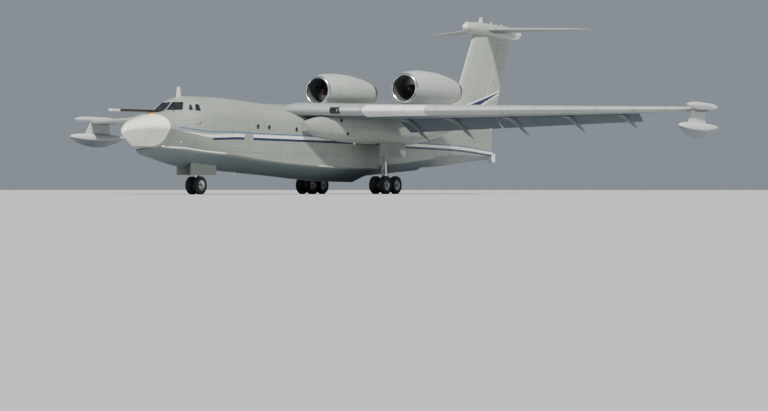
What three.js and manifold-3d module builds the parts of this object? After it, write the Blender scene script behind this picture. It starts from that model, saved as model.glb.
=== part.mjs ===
// A large twin-jet amphibious flying boat, standing on its landing gear, as a 1:2 scale model.
// The aircraft is drawn in its own metres: x to port, y aft from the radome's tip, z up from
// the keel at the main step. One group then turns those metres into the model's millimetres.

import * as THREE from 'three';
import { mergeVertices } from 'three/addons/utils/BufferGeometryUtils.js';
import Module from 'manifold-3d';

const wasm = await Module();
wasm.setup();

// Driving dimensions, in metres of the real aircraft.
const modelMillimetresPerMetre = 500;
const probeTipY = -1.0;
const bulletEndY = 42.84;
const keelClearance = 0.70;
const seatGap = 0.0007;
const groundZ = -keelClearance;

const wing = {
  tip: 20.45, leadRoot: 13.86, leadSlope: 0.4286, chordRoot: 7.0, chordSlope: -0.2178, height: 3.85,
};
const tail = { height: 9.96, hinge: 0.70 };
const engine = { x: 2.95, y: 22.15, z: 5.40, length: 5.9 };
const mainGear = {
  x: 2.48, y: 20.9, wheelRadius: 0.515, wheelHalfGap: 0.31, wheelWidth: 0.34, axleSpread: 0.58,
};
const noseGear = { y: 6.065, wheelRadius: 0.465, wheelHalfGap: 0.24, wheelWidth: 0.28 };
const wingTip = { podX: 20.58, podZ: 4.03, floatX: 20.42, pylonX: 20.36, floatTop: 3.12 };

// Paints of the pieces.
const paint = {
  hull: { color: 0xc9d2cf, roughness: 0.5, metalness: 0.0 },
  radome: { color: 0xe4e3d6, roughness: 0.45, metalness: 0.0 },
  dark: { color: 0x2a2d30, roughness: 0.6, metalness: 0.1 },
  glass: { color: 0x1c2a33, roughness: 0.1, metalness: 0.0 },
  metal: { color: 0x8f9396, roughness: 0.35, metalness: 0.9 },
  tyre: { color: 0x18181a, roughness: 0.9, metalness: 0.0 },
  seat: { color: 0x4a4f48, roughness: 0.9, metalness: 0.0 },
};

const aircraft = new THREE.Group();
aircraft.scale.setScalar(modelMillimetresPerMetre);
aircraft.position.set(
  0,
  -modelMillimetresPerMetre * (probeTipY + bulletEndY) / 2,
  modelMillimetresPerMetre * keelClearance,
);

// Solids: booleans on closed meshes, and the few shape makers that every piece uses.

function welded(geometry) {
  const bare = geometry.clone();
  bare.deleteAttribute('normal');
  bare.deleteAttribute('uv');
  return mergeVertices(bare, 1e-6);
}

function solidOf(geometry) {
  const bare = welded(geometry);
  return new wasm.Manifold(new wasm.Mesh({
    numProp: 3,
    vertProperties: new Float32Array(bare.attributes.position.array),
    triVerts: new Uint32Array(bare.index.array),
  }));
}

function geometryOf(solid) {
  const mesh = solid.getMesh();
  const geometry = new THREE.BufferGeometry();
  geometry.setAttribute('position', new THREE.BufferAttribute(mesh.vertProperties, 3));
  geometry.setIndex(new THREE.BufferAttribute(mesh.triVerts, 1));
  return geometry;
}

function join(...geometries) {
  return geometryOf(geometries.map(solidOf).reduce((whole, piece) => whole.add(piece)));
}

function cut(geometry, ...tools) {
  return geometryOf(tools.map(solidOf).reduce((whole, tool) => whole.subtract(tool), solidOf(geometry)));
}

function common(geometry, other) {
  return geometryOf(solidOf(geometry).intersect(solidOf(other)));
}

function turnOver(index) {
  for (let i = 0; i < index.length; i += 3) [index[i], index[i + 1]] = [index[i + 1], index[i]];
}

function mirrored(geometry) {
  const copy = geometry.clone().scale(-1, 1, 1);
  turnOver(copy.index.array);
  return copy;
}

function outward(geometry) {
  const { array } = geometry.attributes.position;
  const index = geometry.index.array;
  const corner = (i) => new THREE.Vector3().fromArray(array, 3 * index[i]);
  let volume = 0;
  for (let i = 0; i < index.length; i += 3) volume += corner(i).dot(corner(i + 1).cross(corner(i + 2)));
  if (volume < 0) turnOver(index);
  return geometry;
}

// A closed skin through rings of equally many points, with a fan over each end ring.
function loft(rings) {
  const count = rings[0].length;
  const positions = rings.flat(2);
  const index = [];
  for (let r = 0; r + 1 < rings.length; r += 1) {
    for (let i = 0; i < count; i += 1) {
      const a = r * count + i;
      const b = r * count + (i + 1) % count;
      index.push(a, b, b + count, a, b + count, a + count);
    }
  }
  const ends = [[rings[0], 0, true], [rings.at(-1), (rings.length - 1) * count, false]];
  for (const [ring, first, flip] of ends) {
    const middle = positions.length / 3;
    for (const k of [0, 1, 2]) positions.push(ring.reduce((sum, point) => sum + point[k], 0) / count);
    for (let i = 0; i < count; i += 1) {
      const a = first + i;
      const b = first + (i + 1) % count;
      index.push(...(flip ? [b, a, middle] : [a, b, middle]));
    }
  }
  const geometry = new THREE.BufferGeometry();
  geometry.setAttribute('position', new THREE.Float32BufferAttribute(positions, 3));
  geometry.setIndex(index);
  return outward(geometry);
}

function block(x0, x1, y0, y1, z0, z1) {
  const box = new THREE.BoxGeometry(x1 - x0, y1 - y0, z1 - z0);
  return box.translate((x0 + x1) / 2, (y0 + y1) / 2, (z0 + z1) / 2);
}

function rod(from, to, radius, sides = 12) {
  const start = new THREE.Vector3(...from);
  const end = new THREE.Vector3(...to);
  const along = end.clone().sub(start);
  const up = new THREE.Vector3(0, 1, 0);
  const turn = new THREE.Quaternion().setFromUnitVectors(up, along.clone().normalize());
  const cylinder = new THREE.CylinderGeometry(radius, radius, along.length(), sides);
  return cylinder.applyQuaternion(turn).translate(...start.add(end).multiplyScalar(0.5).toArray());
}

// A body of revolution about the line through (x, z) along y; the profile is [radius, y].
function turned(profile, x, z, sides = 20) {
  const points = profile.map(([radius, y]) => new THREE.Vector2(radius, y));
  return outward(welded(new THREE.LatheGeometry(points, sides))).translate(x, 0, 0).translate(0, 0, z);
}

// The same about the line through (y, z) along x, with a flat side lowest; the profile is [radius, x].
function turnedAcross(profile, y, z, sides) {
  const points = profile.map(([radius, x]) => new THREE.Vector2(radius, x));
  const geometry = outward(welded(new THREE.LatheGeometry(points, sides, Math.PI / sides)));
  return geometry.rotateZ(-Math.PI / 2).translate(0, y, z);
}

// A prism over a plan outline of [x, y] points, between two heights.
function planPrism(outline, z0, z1) {
  const shape = new THREE.Shape(outline.map(([x, y]) => new THREE.Vector2(x, y)));
  return new THREE.ExtrudeGeometry(shape, { depth: z1 - z0, bevelEnabled: false }).translate(0, 0, z0);
}

// The vertex radius of a hole whose flats keep the seat gap round a pin.
function boreRadius(pinRadius, sides) {
  return (pinRadius + seatGap) / Math.cos(Math.PI / sides);
}

function add(name, geometry, finish) {
  const mesh = new THREE.Mesh(welded(geometry), new THREE.MeshStandardMaterial(finish));
  mesh.name = name;
  aircraft.add(mesh);
}

function addPair(name, geometry, finish) {
  const left = welded(geometry);
  add(`${name}_left`, left, finish);
  add(`${name}_right`, mirrored(left), finish);
}

// Hull: a V bottom with hard chines and a superellipse above them. The wall between the two is
// straight where tumble is 1, as at the bow, and bends upright where it is 2, as without a value.

const column = { y: 0, keel: 1, chineZ: 2, chineX: 3, wideZ: 4, halfWidth: 5, top: 6, tumble: 7 };
const foreHull = [
  [2.20, 1.12, 1.66, 0.70, 2.55, 1.30, 3.30, 1.0],
  [3.50, 0.86, 1.60, 1.20, 2.45, 1.58, 3.55, 1.4],
  [4.15, 0.76, 1.54, 1.32, 2.42, 1.66, 4.05, 1.8],
  [5.00, 0.69, 1.46, 1.48, 2.40, 1.71, 4.29],
  [7.40, 0.57, 1.32, 1.67, 2.45, 1.76, 4.32],
  [9.60, 0.45, 1.12, 1.74, 2.45, 1.79, 4.24],
  [12.20, 0.32, 0.96, 1.76, 2.45, 1.80, 4.15],
];
const middleHull = [
  [12.20, 0.32, 0.96, 1.76, 2.45, 1.80, 4.15],
  [15.20, 0.15, 0.84, 1.77, 2.45, 1.80, 4.26],
  [18.20, 0.04, 0.77, 1.77, 2.45, 1.80, 4.42],
  [21.33, 0.00, 0.75, 1.77, 2.45, 1.80, 4.42],
];
const middleHullAft = [
  [21.33, 0.28, 0.93, 1.70, 2.45, 1.80, 4.42],
  [24.60, 0.48, 1.15, 1.60, 2.50, 1.72, 4.36],
];
const aftHull = [
  [24.60, 0.48, 1.15, 1.60, 2.50, 1.72, 4.36],
  [28.84, 0.74, 1.50, 1.32, 2.65, 1.42, 4.28],
];
const sternHull = [
  [28.84, 0.90, 1.60, 1.26, 2.65, 1.42, 4.28],
  [31.40, 1.00, 1.80, 1.00, 2.75, 1.14, 4.25],
  [35.00, 1.28, 1.78, 0.52, 2.85, 0.66, 4.22],
  [38.66, 1.56, 1.74, 0.05, 2.90, 0.08, 3.95],
];
const roundness = 2.3;

function hullRing(station, grow = 0) {
  const s = (name) => station[column[name]];
  const half = [[0, s('keel') - grow], [s('chineX') + grow, s('chineZ') - grow / 2]];
  for (const t of [0.33, 0.66]) {
    const x = s('halfWidth') + (s('chineX') - s('halfWidth')) * (1 - t) ** (s('tumble') ?? 2);
    half.push([x + grow, s('chineZ') + t * (s('wideZ') - s('chineZ'))]);
  }
  for (const degrees of [0, 22, 42, 60, 76]) {
    const angle = THREE.MathUtils.degToRad(degrees);
    const x = (s('halfWidth') + grow) * Math.cos(angle) ** (2 / roundness);
    const rise = (s('top') + grow - s('wideZ')) * Math.sin(angle) ** (2 / roundness);
    half.push([x, s('wideZ') + rise]);
  }
  half.push([0, s('top') + grow]);
  const mirror = half.slice(1, -1).reverse().map(([x, z]) => [-x, z]);
  return [...half, ...mirror].map(([x, z]) => [x, s('y'), z]);
}

function hullLoft(stations, grow = 0) {
  return loft(stations.map((station) => hullRing(station, grow)));
}

// One joined hull, a seat gap larger all round, which trims whatever stands against it.
function hullTrimmer() {
  const runs = [foreHull, middleHull, middleHullAft, aftHull, sternHull];
  return join(...runs.map((run) => hullLoft(run, seatGap)));
}

const hullSeat = hullTrimmer();

// A thin slice across the hull, just ahead of a joint face.
function jointFaceGap(y) {
  return block(-3, 3, y - seatGap, y, -1, 6);
}

// The bow: the front of the planing bottom, a shallow V that reaches forward under the radome.
const bowRows = [
  [1.18, 1.41, 1.46, 0.05],
  [1.30, 1.30, 1.50, 0.15],
  [1.75, 1.20, 1.58, 0.44],
  [2.20, 1.12, 1.65, 0.69],
  [2.45, 1.08, 1.62, 0.76],
];

function bow(grow = 0) {
  return loft(bowRows.map(([y, keel, chine, halfWidth]) => {
    const [x, low, high] = [halfWidth + grow, keel - grow, chine + grow];
    const side = high - 0.02;
    return [[0, y, low], [x, y, side], [x, y, high], [0, y, high], [-x, y, high], [-x, y, side]];
  }));
}

const radomeStations = [
  [0.00, 2.30, 2.31, 0.015, 2.34, 0.02, 2.38, 1],
  [0.06, 2.19, 2.23, 0.050, 2.36, 0.11, 2.51, 1],
  [0.35, 1.97, 2.03, 0.060, 2.45, 0.28, 2.74, 1],
  [0.85, 1.68, 1.76, 0.090, 2.55, 0.58, 2.96, 1],
  [1.30, 1.49, 1.58, 0.140, 2.60, 0.90, 3.09, 1],
  [1.75, 1.52, 1.60, 0.430, 2.58, 1.13, 3.20, 1],
  [foreHull[0][column.y] - seatGap, 1.60, 1.66, 0.70, 2.55, 1.30, 3.30, 1],
];

function radome() {
  return cut(loft(radomeStations.map((station) => hullRing(station))), bow(seatGap));
}

const cabin = { front: 3.62, back: 7.1, floor: 2.85, wall: 0.06 };
const noseBay = { halfWidth: 0.42, front: 4.95, back: 7.25, roof: 1.42 };
const windowRows = [[3.98, 4.16, 3.53, 3.78], [4.26, 4.60, 3.50, 3.84], [4.74, 5.10, 3.50, 3.84]];
const windscreen = { inner: 0.04, outer: 0.92, back: 4.30, low: 3.50, high: 3.95 };

function cabinSpace(shrink, low, back) {
  return common(hullLoft(foreHull, -shrink), block(-2, 2, cabin.front, back, low, 5));
}

function forwardHull() {
  const aerial = block(-0.02, 0.02, 4.36, 4.64, 4.15, 4.66);
  let hull = join(hullLoft(foreHull), bow(), aerial);
  hull = cut(hull, cabinSpace(cabin.wall, cabin.floor, cabin.back));
  const { halfWidth, front: bayFront, back: bayBack, roof } = noseBay;
  hull = cut(hull, block(-halfWidth, halfWidth, bayFront, bayBack, -1, roof));
  for (const side of [-1, 1]) {
    const pane = [side * windscreen.inner, side * windscreen.outer].sort((a, b) => a - b);
    hull = cut(hull, block(...pane, 3.0, windscreen.back, windscreen.low, windscreen.high));
    const wall = [side * 0.6, side * 2].sort((a, b) => a - b);
    for (const row of windowRows) hull = cut(hull, block(...wall, ...row));
  }
  return cut(hull, jointFaceGap(middleHull[0][column.y]));
}

function flightDeckGlazing() {
  const outer = cabinSpace(cabin.wall + seatGap, 3.36, 5.4);
  const inner = common(hullLoft(foreHull, -cabin.wall - 0.035), block(-2, 2, cabin.front - 1, 6, 3, 4.09));
  return cut(common(outer, block(-2, 2, 3, 6, 3.36, 4.12)), inner);
}

function flightDeck() {
  const low = cabin.floor + seatGap;
  const deck = block(-1.25, 1.25, 4.0, 7.0, low, low + 0.06);
  const panel = block(-0.85, 0.85, 4.02, 4.2, low + 0.03, low + 0.56);
  const pieces = [deck, panel];
  for (const x of [-0.55, 0.55]) {
    pieces.push(block(x - 0.24, x + 0.24, 4.95, 5.45, low + 0.03, low + 0.40));
    pieces.push(block(x - 0.24, x + 0.24, 5.38, 5.52, low + 0.35, low + 1.02));
  }
  return join(...pieces);
}

function centreHull() {
  const whole = join(hullLoft(middleHull), hullLoft(middleHullAft));
  return cut(whole, jointFaceGap(aftHull[0][column.y]));
}

const waterRudder = {
  y: 38.86, low: 1.36, high: 1.92, chord: 0.42, pin: 0.025, half: 0.03, edge: 0.008, gap: 0.014,
};

function afterHull() {
  const brackets = [[waterRudder.low - 0.06, waterRudder.low], [waterRudder.high, waterRudder.high + 0.06]];
  const lugs = brackets.map(([low, high]) => block(-0.04, 0.04, 38.4, waterRudder.y + 0.06, low, high));
  const heel = block(-0.035, 0.035, 38.3, waterRudder.y - 0.11, waterRudder.low - 0.06, 1.80);
  return join(hullLoft(aftHull), hullLoft(sternHull), heel, ...lugs);
}

// Lifting surfaces: a symmetric section over span stations of named columns, as [x, y, z].

const surfaceColumn = { span: 0, lead: 1, chord: 2, height: 3, thickness: 4 };
const chordSteps = [0, 0.02, 0.09, 0.25, 0.45, 0.70, 1.0];

// Half the thickness of the section at a fraction of its chord, with a blunt trailing edge.
function halfThickness(fraction, thickness) {
  const f = fraction;
  const curve = 0.2969 * Math.sqrt(f) - 0.126 * f - 0.3516 * f ** 2 + 0.2843 * f ** 3 - 0.1015 * f ** 4;
  return 5 * thickness * curve + 0.0008 * f;
}

function sectionRing([span, lead, chord, height, thickness]) {
  const point = (f, side) => [span, lead + f * chord, height + side * chord * halfThickness(f, thickness)];
  const upper = chordSteps.map((f) => point(f, 1));
  const lower = chordSteps.slice(1).map((f) => point(f, -1));
  return [...upper, ...lower.reverse()];
}

function surface(stations) {
  return loft(stations.map(sectionRing));
}

function stationAt(stations, span) {
  const upper = Math.max(1, stations.findIndex((station) => station[0] >= span));
  const [a, b] = [stations[upper - 1], stations[upper]];
  const t = (span - a[0]) / (b[0] - a[0]);
  return a.map((value, i) => value + t * (b[i] - value));
}

function chordPoint(stations, span, fraction) {
  const [, lead, chord, height] = stationAt(stations, span);
  return [span, lead + fraction * chord, height];
}

// Everything ahead of, or behind, one chord fraction between two spans.
function chordRegion(stations, from, to, fraction, ahead, shift = 0) {
  const [a, b] = [chordPoint(stations, from, fraction), chordPoint(stations, to, fraction)];
  const far = ahead ? -8 : 12;
  return planPrism([[from, a[1] + shift], [to, b[1] + shift], [to, b[1] + far], [from, a[1] + far]], -3, 12);
}

// A control surface between two ribs: a round nose on its hinge line, flat sides, pins at its ends.
function controlSurface(stations, { from, to, hinge, innerGap, outerGap, pin }) {
  const ring = (span) => {
    const station = stationAt(stations, span);
    const [, y, z] = chordPoint(stations, span, hinge);
    const trailing = chordPoint(stations, span, 1.0)[1];
    const nose = 0.93 * station[surfaceColumn.chord] * halfThickness(hinge, station[surfaceColumn.thickness]);
    const arc = [90, 126, 162, 198, 234, 270].map((degrees) => {
      const angle = THREE.MathUtils.degToRad(degrees);
      return [span, y + nose * Math.cos(angle), z + nose * Math.sin(angle)];
    });
    return [...arc, [span, trailing, z - 0.006], [span, trailing, z + 0.006]];
  };
  const start = chordPoint(stations, from, hinge);
  const end = chordPoint(stations, to, hinge);
  const axis = new THREE.Vector3(...end).sub(new THREE.Vector3(...start)).normalize();
  const reach = (seatGap + pin * Math.sqrt(1 - axis.x ** 2)) / axis.x;
  const first = new THREE.Vector3(...start).addScaledVector(axis, reach).toArray();
  const last = new THREE.Vector3(...end).addScaledVector(axis, -reach).toArray();
  return join(loft([ring(from + innerGap), ring(to - outerGap)]), rod(first, last, pin, 16));
}

// Wing: stations outboard of the hull, the first ones with the leading edge drawn forward.

function wingStation(x, forward = 0, thickness = 0.13) {
  const lead = wing.leadRoot + wing.leadSlope * x - forward;
  const trail = wing.leadRoot + wing.chordRoot + (wing.leadSlope + wing.chordSlope) * x;
  return [x, lead, trail - lead, wing.height, thickness];
}

const wingStations = [
  wingStation(1.2, 1.9, 0.105),
  wingStation(2.1, 1.0, 0.118),
  wingStation(3.0, 0.3, 0.130),
  wingStation(3.9, 0.0, 0.138),
  wingStation(wing.tip, 0.0, 0.113),
];
const flapSpans = { inner: [3.75, 9.05], outer: [9.13, 16.85] };
const aileronSpan = [16.95, 20.0];
const wingFractions = { slat: 0.10, flapBay: 0.72, aileronBay: 0.728, aileronHinge: 0.76 };

function wingWhole() {
  return surface(wingStations);
}

function slat() {
  const region = chordRegion(wingStations, 4.1, 20.0, wingFractions.slat, true);
  return common(wingWhole(), region);
}

function wingPanel() {
  const slatBay = chordRegion(wingStations, 4.1 - seatGap, 20.0 + seatGap, wingFractions.slat, true, seatGap);
  const [flapFrom, flapTo] = [flapSpans.inner[0], flapSpans.outer[1] + 0.02];
  const flapBay = chordRegion(wingStations, flapFrom, flapTo, wingFractions.flapBay, false);
  const aileronBay = chordRegion(wingStations, ...aileronSpan, wingFractions.aileronBay, false);
  return cut(wingWhole(), hullSeat, slatBay, flapBay, aileronBay);
}

function aileron() {
  const [from, to] = aileronSpan;
  const layout = { from, to, hinge: wingFractions.aileronHinge, innerGap: 0.016, outerGap: 0.036, pin: 0.03 };
  return controlSurface(wingStations, layout);
}

const flapAngle = THREE.MathUtils.degToRad(31);
const flapProfile = [
  [0, 0], [0.05, 0.055], [0.22, 0.085], [0.55, 0.060], [1, 0.004], [1, -0.004], [0.5, -0.030], [0.12, -0.045],
];

function flapRing(span) {
  const station = stationAt(wingStations, span);
  const chord = 0.29 * station[surfaceColumn.chord];
  const [, noseY] = chordPoint(wingStations, span, 0.735);
  const noseZ = wing.height - 0.020 * station[surfaceColumn.chord];
  return flapProfile.map(([f, h]) => {
    const along = f * chord;
    const rise = h * chord;
    const y = noseY + along * Math.cos(flapAngle) + rise * Math.sin(flapAngle);
    return [span, y, noseZ - along * Math.sin(flapAngle) + rise * Math.cos(flapAngle)];
  });
}

// A drooping fairing under the wing that carries the flap's track.
function trackFairing(x) {
  const station = stationAt(wingStations, x);
  const chord = station[surfaceColumn.chord];
  const [, frontY] = chordPoint(wingStations, x, 0.50);
  const low = wing.height - chord * 0.05;
  const rows = [[0, 0.02, 0.03], [0.12, 0.09, 0.10], [0.4, 0.13, 0.17], [0.75, 0.10, 0.13], [1, 0.015, 0.02]];
  const length = 0.50 * chord + 1.05;
  const rings = rows.map(([t, halfWidth, halfDepth]) => {
    const droop = 0.31 * chord * Math.max(0, t - 0.30) ** 1.2 + 0.05;
    const middle = [frontY + t * length, low - droop];
    return [0, 45, 90, 135, 180, 225, 270, 315].map((degrees) => {
      const angle = THREE.MathUtils.degToRad(degrees);
      return [x + halfWidth * Math.cos(angle), middle[0], middle[1] + halfDepth * Math.sin(angle)];
    });
  });
  return loft(rings);
}

const fairingSpans = { inner: [4.35, 6.9], outer: [10.05, 13.2, 16.1] };

function flap(part) {
  const [from, to] = flapSpans[part];
  const blade = loft([flapRing(from + 0.02), flapRing(to)]);
  const carried = fairingSpans[part].map((x) => cut(trackFairing(x), wingSeat));
  return join(blade, ...carried);
}

// The wing a seat gap larger: its section thickened, which trims what hangs under it.
function wingTrimmer() {
  const thick = wingStations.map((station) => {
    const copy = station.slice();
    copy[surfaceColumn.lead] -= seatGap;
    copy[surfaceColumn.chord] += 2 * seatGap;
    copy[surfaceColumn.thickness] += 2.4 * seatGap / copy[surfaceColumn.chord];
    return copy;
  });
  const flapBay = chordRegion(wingStations, flapSpans.inner[0] + seatGap, flapSpans.outer[1] - seatGap,
    wingFractions.flapBay, false, seatGap);
  return cut(surface(thick), flapBay);
}

const wingSeat = wingTrimmer();

// Gear pods beside the hull under the wing roots, with a rocket-like booster's tail end.

const podSides = 14;
const podRoundness = 2.6;
const podRows = [
  [13.2, 1.90, 0.25, 2.70, 3.20],
  [14.7, 2.12, 0.52, 2.36, 3.60],
  [17.0, 2.40, 0.84, 2.16, 3.85],
  [20.0, 2.50, 0.92, 2.10, 3.95],
  [23.0, 2.50, 0.92, 2.14, 3.98],
  [26.0, 2.50, 0.84, 2.54, 4.06],
  [28.6, 2.50, 0.62, 3.10, 4.30],
  [30.1, 2.48, 0.41, 3.58, 4.42],
];
const mainBay = { inner: 2.02, outer: 2.94, front: 19.4, back: 22.4, roof: 3.25 };
const pad = { radius: 0.11, low: 2.06, y: 17.6, x: 2.4 };

function podRing([y, x, halfWidth, low, high], grow = 0) {
  const middle = (low + high) / 2;
  return Array.from({ length: podSides }, (_, i) => {
    const angle = (i + 0.5) / podSides * 2 * Math.PI;
    const [c, s] = [Math.cos(angle), Math.sin(angle)];
    const across = (halfWidth + grow) * Math.sign(c) * Math.abs(c) ** (2 / podRoundness);
    const rise = ((high - low) / 2 + grow) * Math.sign(s) * Math.abs(s) ** (2 / podRoundness);
    return [x + across, y, middle + rise];
  });
}

function gearPod() {
  const skin = loft(podRows.map((row) => podRing(row)));
  const jackPad = rod([pad.x, pad.y, pad.low], [pad.x, pad.y, pad.low + 0.6], pad.radius, 16);
  const bay = block(mainBay.inner, mainBay.outer, mainBay.front, mainBay.back, 1.5, mainBay.roof);
  return cut(join(skin, jackPad), hullSeat, wingSeat, bay);
}

const podSeat = loft(podRows.map((row) => podRing(row, seatGap)));

function boosterNozzle() {
  const [y, x, , low, high] = podRows.at(-1);
  const profile = [[0.31, 0], [0.28, 0.45], [0.24, 0.45], [0.25, 0.10], [0, 0.10], [0, 0], [0.31, 0]];
  return turned(profile.map(([r, back]) => [r, y + seatGap + back]), x, (low + high) / 2, 16);
}

// Engines: a hollow nacelle, a fan, and the engine itself as one block with its exhaust cone.

const engineSides = 20;
const duct = { radius: 0.73, fanFront: 0.95, blockFront: 1.30, blockBack: 4.60 };
const fanShape = {
  blades: 22, thickness: 0.016, chord: 0.20, root: 0.18, twist: 0.75, tipGap: 0.013, shaftGap: 0.05,
};
const nacelleOuter = [[0.78, 0.00], [0.90, 0.18], [1.01, 0.75], [1.08, 1.80], [1.06, 3.00], [0.92, 4.50],
  [0.66, engine.length]];
const nacelleInner = [
  [0.61, engine.length], [0.70, 4.75], [0.73, 4.60], [0.73, 0.90], [0.70, 0.35], [0.73, 0.06],
];

function nacelle() {
  const profile = [...nacelleOuter, ...nacelleInner, nacelleOuter[0]];
  return turned(profile.map(([r, y]) => [r, engine.y + y]), engine.x, engine.z, engineSides);
}

function nacelleTrimmer() {
  const profile = nacelleOuter.map(([r, y]) => [r + seatGap, engine.y + y]);
  profile.unshift([0, engine.y]);
  profile.push([0, engine.y + engine.length]);
  return turned(profile, engine.x, engine.z, engineSides);
}

function fan() {
  const { blades: count, thickness, chord, root, twist, tipGap, shaftGap } = fanShape;
  const back = engine.y + duct.blockFront - seatGap - shaftGap;
  const front = engine.y + duct.fanFront;
  const tip = (duct.radius * Math.cos(Math.PI / engineSides)) - tipGap;
  const spinner = turned([[0, front - 0.42], [0.10, front - 0.34], [0.20, front - 0.12], [0.25, front],
    [0.25, front + 0.2], [0.12, front + 0.22], [0.12, back], [0, back]], 0, 0, engineSides);
  const blades = Array.from({ length: count }, (_, i) => {
    const blade = new THREE.BoxGeometry(thickness, chord, tip - root);
    blade.rotateZ(twist).translate(0, front + chord / 2, (tip + root) / 2);
    return blade.rotateY(i / count * 2 * Math.PI);
  });
  return join(spinner, ...blades).translate(engine.x, 0, engine.z);
}

function engineBlock() {
  const radius = duct.radius - 1.03 * seatGap;
  const front = engine.y + duct.blockFront;
  const back = engine.y + duct.blockBack - 0.02;
  const shaft = [[0, front - 0.05], [0.12, front - 0.05], [0.16, front]];
  const core = [[radius, front], [radius, back], [0.34, back]];
  const cone = [[0.30, back + 0.9], [0.05, back + 1.75], [0, back + 1.75]];
  return turned([...shaft, ...core, ...cone], engine.x, engine.z, engineSides);
}

function enginePylon() {
  const rows = [[3.45, 22.9, 28.8, 0.30], [4.30, 22.9, 28.1, 0.26], [5.20, 23.2, 27.5, 0.24]];
  const rings = rows.map(([z, front, back, halfWidth]) => {
    const length = back - front;
    const shape = [[0, 0.15], [0.12, 0.75], [0.35, 1], [0.75, 0.8], [1, 0.1]];
    const left = shape.map(([t, w]) => [engine.x + w * halfWidth, front + t * length, z]);
    const right = shape.map(([t, w]) => [engine.x - w * halfWidth, front + t * length, z]).reverse();
    return [...left, ...right];
  });
  return cut(loft(rings), nacelleTrimmer(), podSeat, wingSeat, hullSeat);
}

// Wing tips: a slender pod on top, a pylon and a float below it.

function roundRing(x, y, z, halfWidth, halfDepth) {
  return [0, 45, 90, 135, 180, 225, 270, 315].map((degrees) => {
    const angle = THREE.MathUtils.degToRad(degrees + 22.5);
    return [x + halfWidth * Math.cos(angle), y, z + halfDepth * Math.sin(angle)];
  });
}

const tipPodRows = [
  [21.35, 0.02], [21.5, 0.08], [21.95, 0.15], [22.8, 0.18], [24.4, 0.17], [25.3, 0.12], [25.75, 0.04],
];

function tipPod() {
  const skin = loft(tipPodRows.map(([y, r]) => roundRing(wingTip.podX, y, wingTip.podZ, r, r)));
  return cut(skin, wingTipSeat);
}

const wingTipSeat = (() => {
  const outer = stationAt(wingStations, wing.tip).slice();
  outer[surfaceColumn.span] += seatGap;
  outer[surfaceColumn.thickness] += 3 * seatGap / outer[surfaceColumn.chord];
  const inner = stationAt(wingStations, wing.tip - 1).slice();
  inner[surfaceColumn.thickness] += 3 * seatGap / inner[surfaceColumn.chord];
  return surface([inner, outer]);
})();

function tipFloatWithPylon() {
  const rows = [
    [20.70, 0.03, 2.86, 2.90, 2.94], [21.00, 0.20, 2.66, 2.83, 3.06], [21.90, 0.35, 2.40, 2.76, 3.12],
    [23.20, 0.39, 2.26, 2.74, 3.13], [23.90, 0.38, 2.28, 2.76, 3.12], [25.20, 0.30, 2.55, 2.86, 3.06],
    [26.20, 0.05, 2.84, 2.92, 2.98],
  ];
  const rings = rows.map(([y, halfWidth, keel, chine, top]) => {
    const half = [[0, keel], [halfWidth, chine], [halfWidth * 0.96, chine + 0.5 * (top - chine)],
      [halfWidth * 0.6, top - 0.1 * (top - chine)], [0, top]];
    const other = half.slice(1, -1).reverse().map(([x, z]) => [-x, z]);
    return [...half, ...other].map(([x, z]) => [wingTip.floatX + x, y, z]);
  });
  const pylonRows = [[wingTip.floatTop - 0.2, 21.9, 24.6], [3.85, 22.6, 24.5]];
  const pylon = loft(pylonRows.map(([z, front, back]) => {
    const length = back - front;
    const shape = [[0, 0.1], [0.2, 0.8], [0.45, 1], [1, 0.1]];
    const left = shape.map(([t, w]) => [wingTip.pylonX + 0.075 * w, front + t * length, z]);
    const right = shape.map(([t, w]) => [wingTip.pylonX - 0.075 * w, front + t * length, z]).reverse();
    return [...left, ...right];
  }));
  return join(loft(rings), cut(pylon, wingTipSeat));
}

// Tail: fin and rudder stand on the hull, the tailplane crosses a bullet on the fin's top.

const bulletProfile = [[0, 34.90], [0.17, 35.02], [0.33, 35.60], [0.42, 36.80], [0.43, 39.60], [0.40, 41.30],
  [0.33, 42.35], [0.20, 42.72], [0, bulletEndY]];
const bulletGrown = bulletProfile.map(([r, y]) => [r === 0 ? 0 : r + seatGap, y]);
const bulletSeat = turned(bulletGrown, 0, tail.height, engineSides);

// The fin is drawn lying down, with its span along x, and then stood up.
const finStations = [
  [3.80, 31.20, 7.70, 0, 0.068],
  [4.45, 33.24, 5.95, 0, 0.090],
  [9.80, 36.38, 5.20, 0, 0.085],
];
const rudderLayout = {
  from: 4.50, to: 9.34, hinge: 0.68, bay: 0.645, innerGap: 0.050, outerGap: 0.085, pin: 0.035,
};

function stoodUp(geometry) {
  return geometry.rotateY(-Math.PI / 2);
}

function fin() {
  const bay = chordRegion(finStations, rudderLayout.from, rudderLayout.to, rudderLayout.bay, false);
  return cut(stoodUp(cut(surface(finStations), bay)), hullSeat, bulletSeat);
}

function rudder() {
  return stoodUp(controlSurface(finStations, rudderLayout));
}

const tailStations = [
  [0.15, 37.35, 3.60, tail.height, 0.100],
  [5.30, 40.20, 1.55, tail.height, 0.095],
  [5.935, 40.95, 0.90, tail.height, 0.080],
];
const elevatorLayout = {
  from: 0.62, to: 5.20, hinge: tail.hinge, bay: 0.665, innerGap: 0.016, outerGap: 0.045, pin: 0.022,
};

function tailplane() {
  const bay = chordRegion(tailStations, elevatorLayout.from, elevatorLayout.to, elevatorLayout.bay, false);
  return cut(surface(tailStations), bay, bulletSeat);
}

function elevator() {
  return controlSurface(tailStations, elevatorLayout);
}

function waterRudderBlade() {
  const { y, low, high, chord, pin, half, edge, gap } = waterRudder;
  const plan = [[-half, y - half], [half, y - half], [half, y + half], [edge, y + chord], [-edge, y + chord],
    [-half, y + half]];
  const pivot = rod([0, y, low + seatGap], [0, y, high - seatGap], pin, 12);
  return join(planPrism(plan, low + gap, high - gap), pivot);
}

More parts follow.
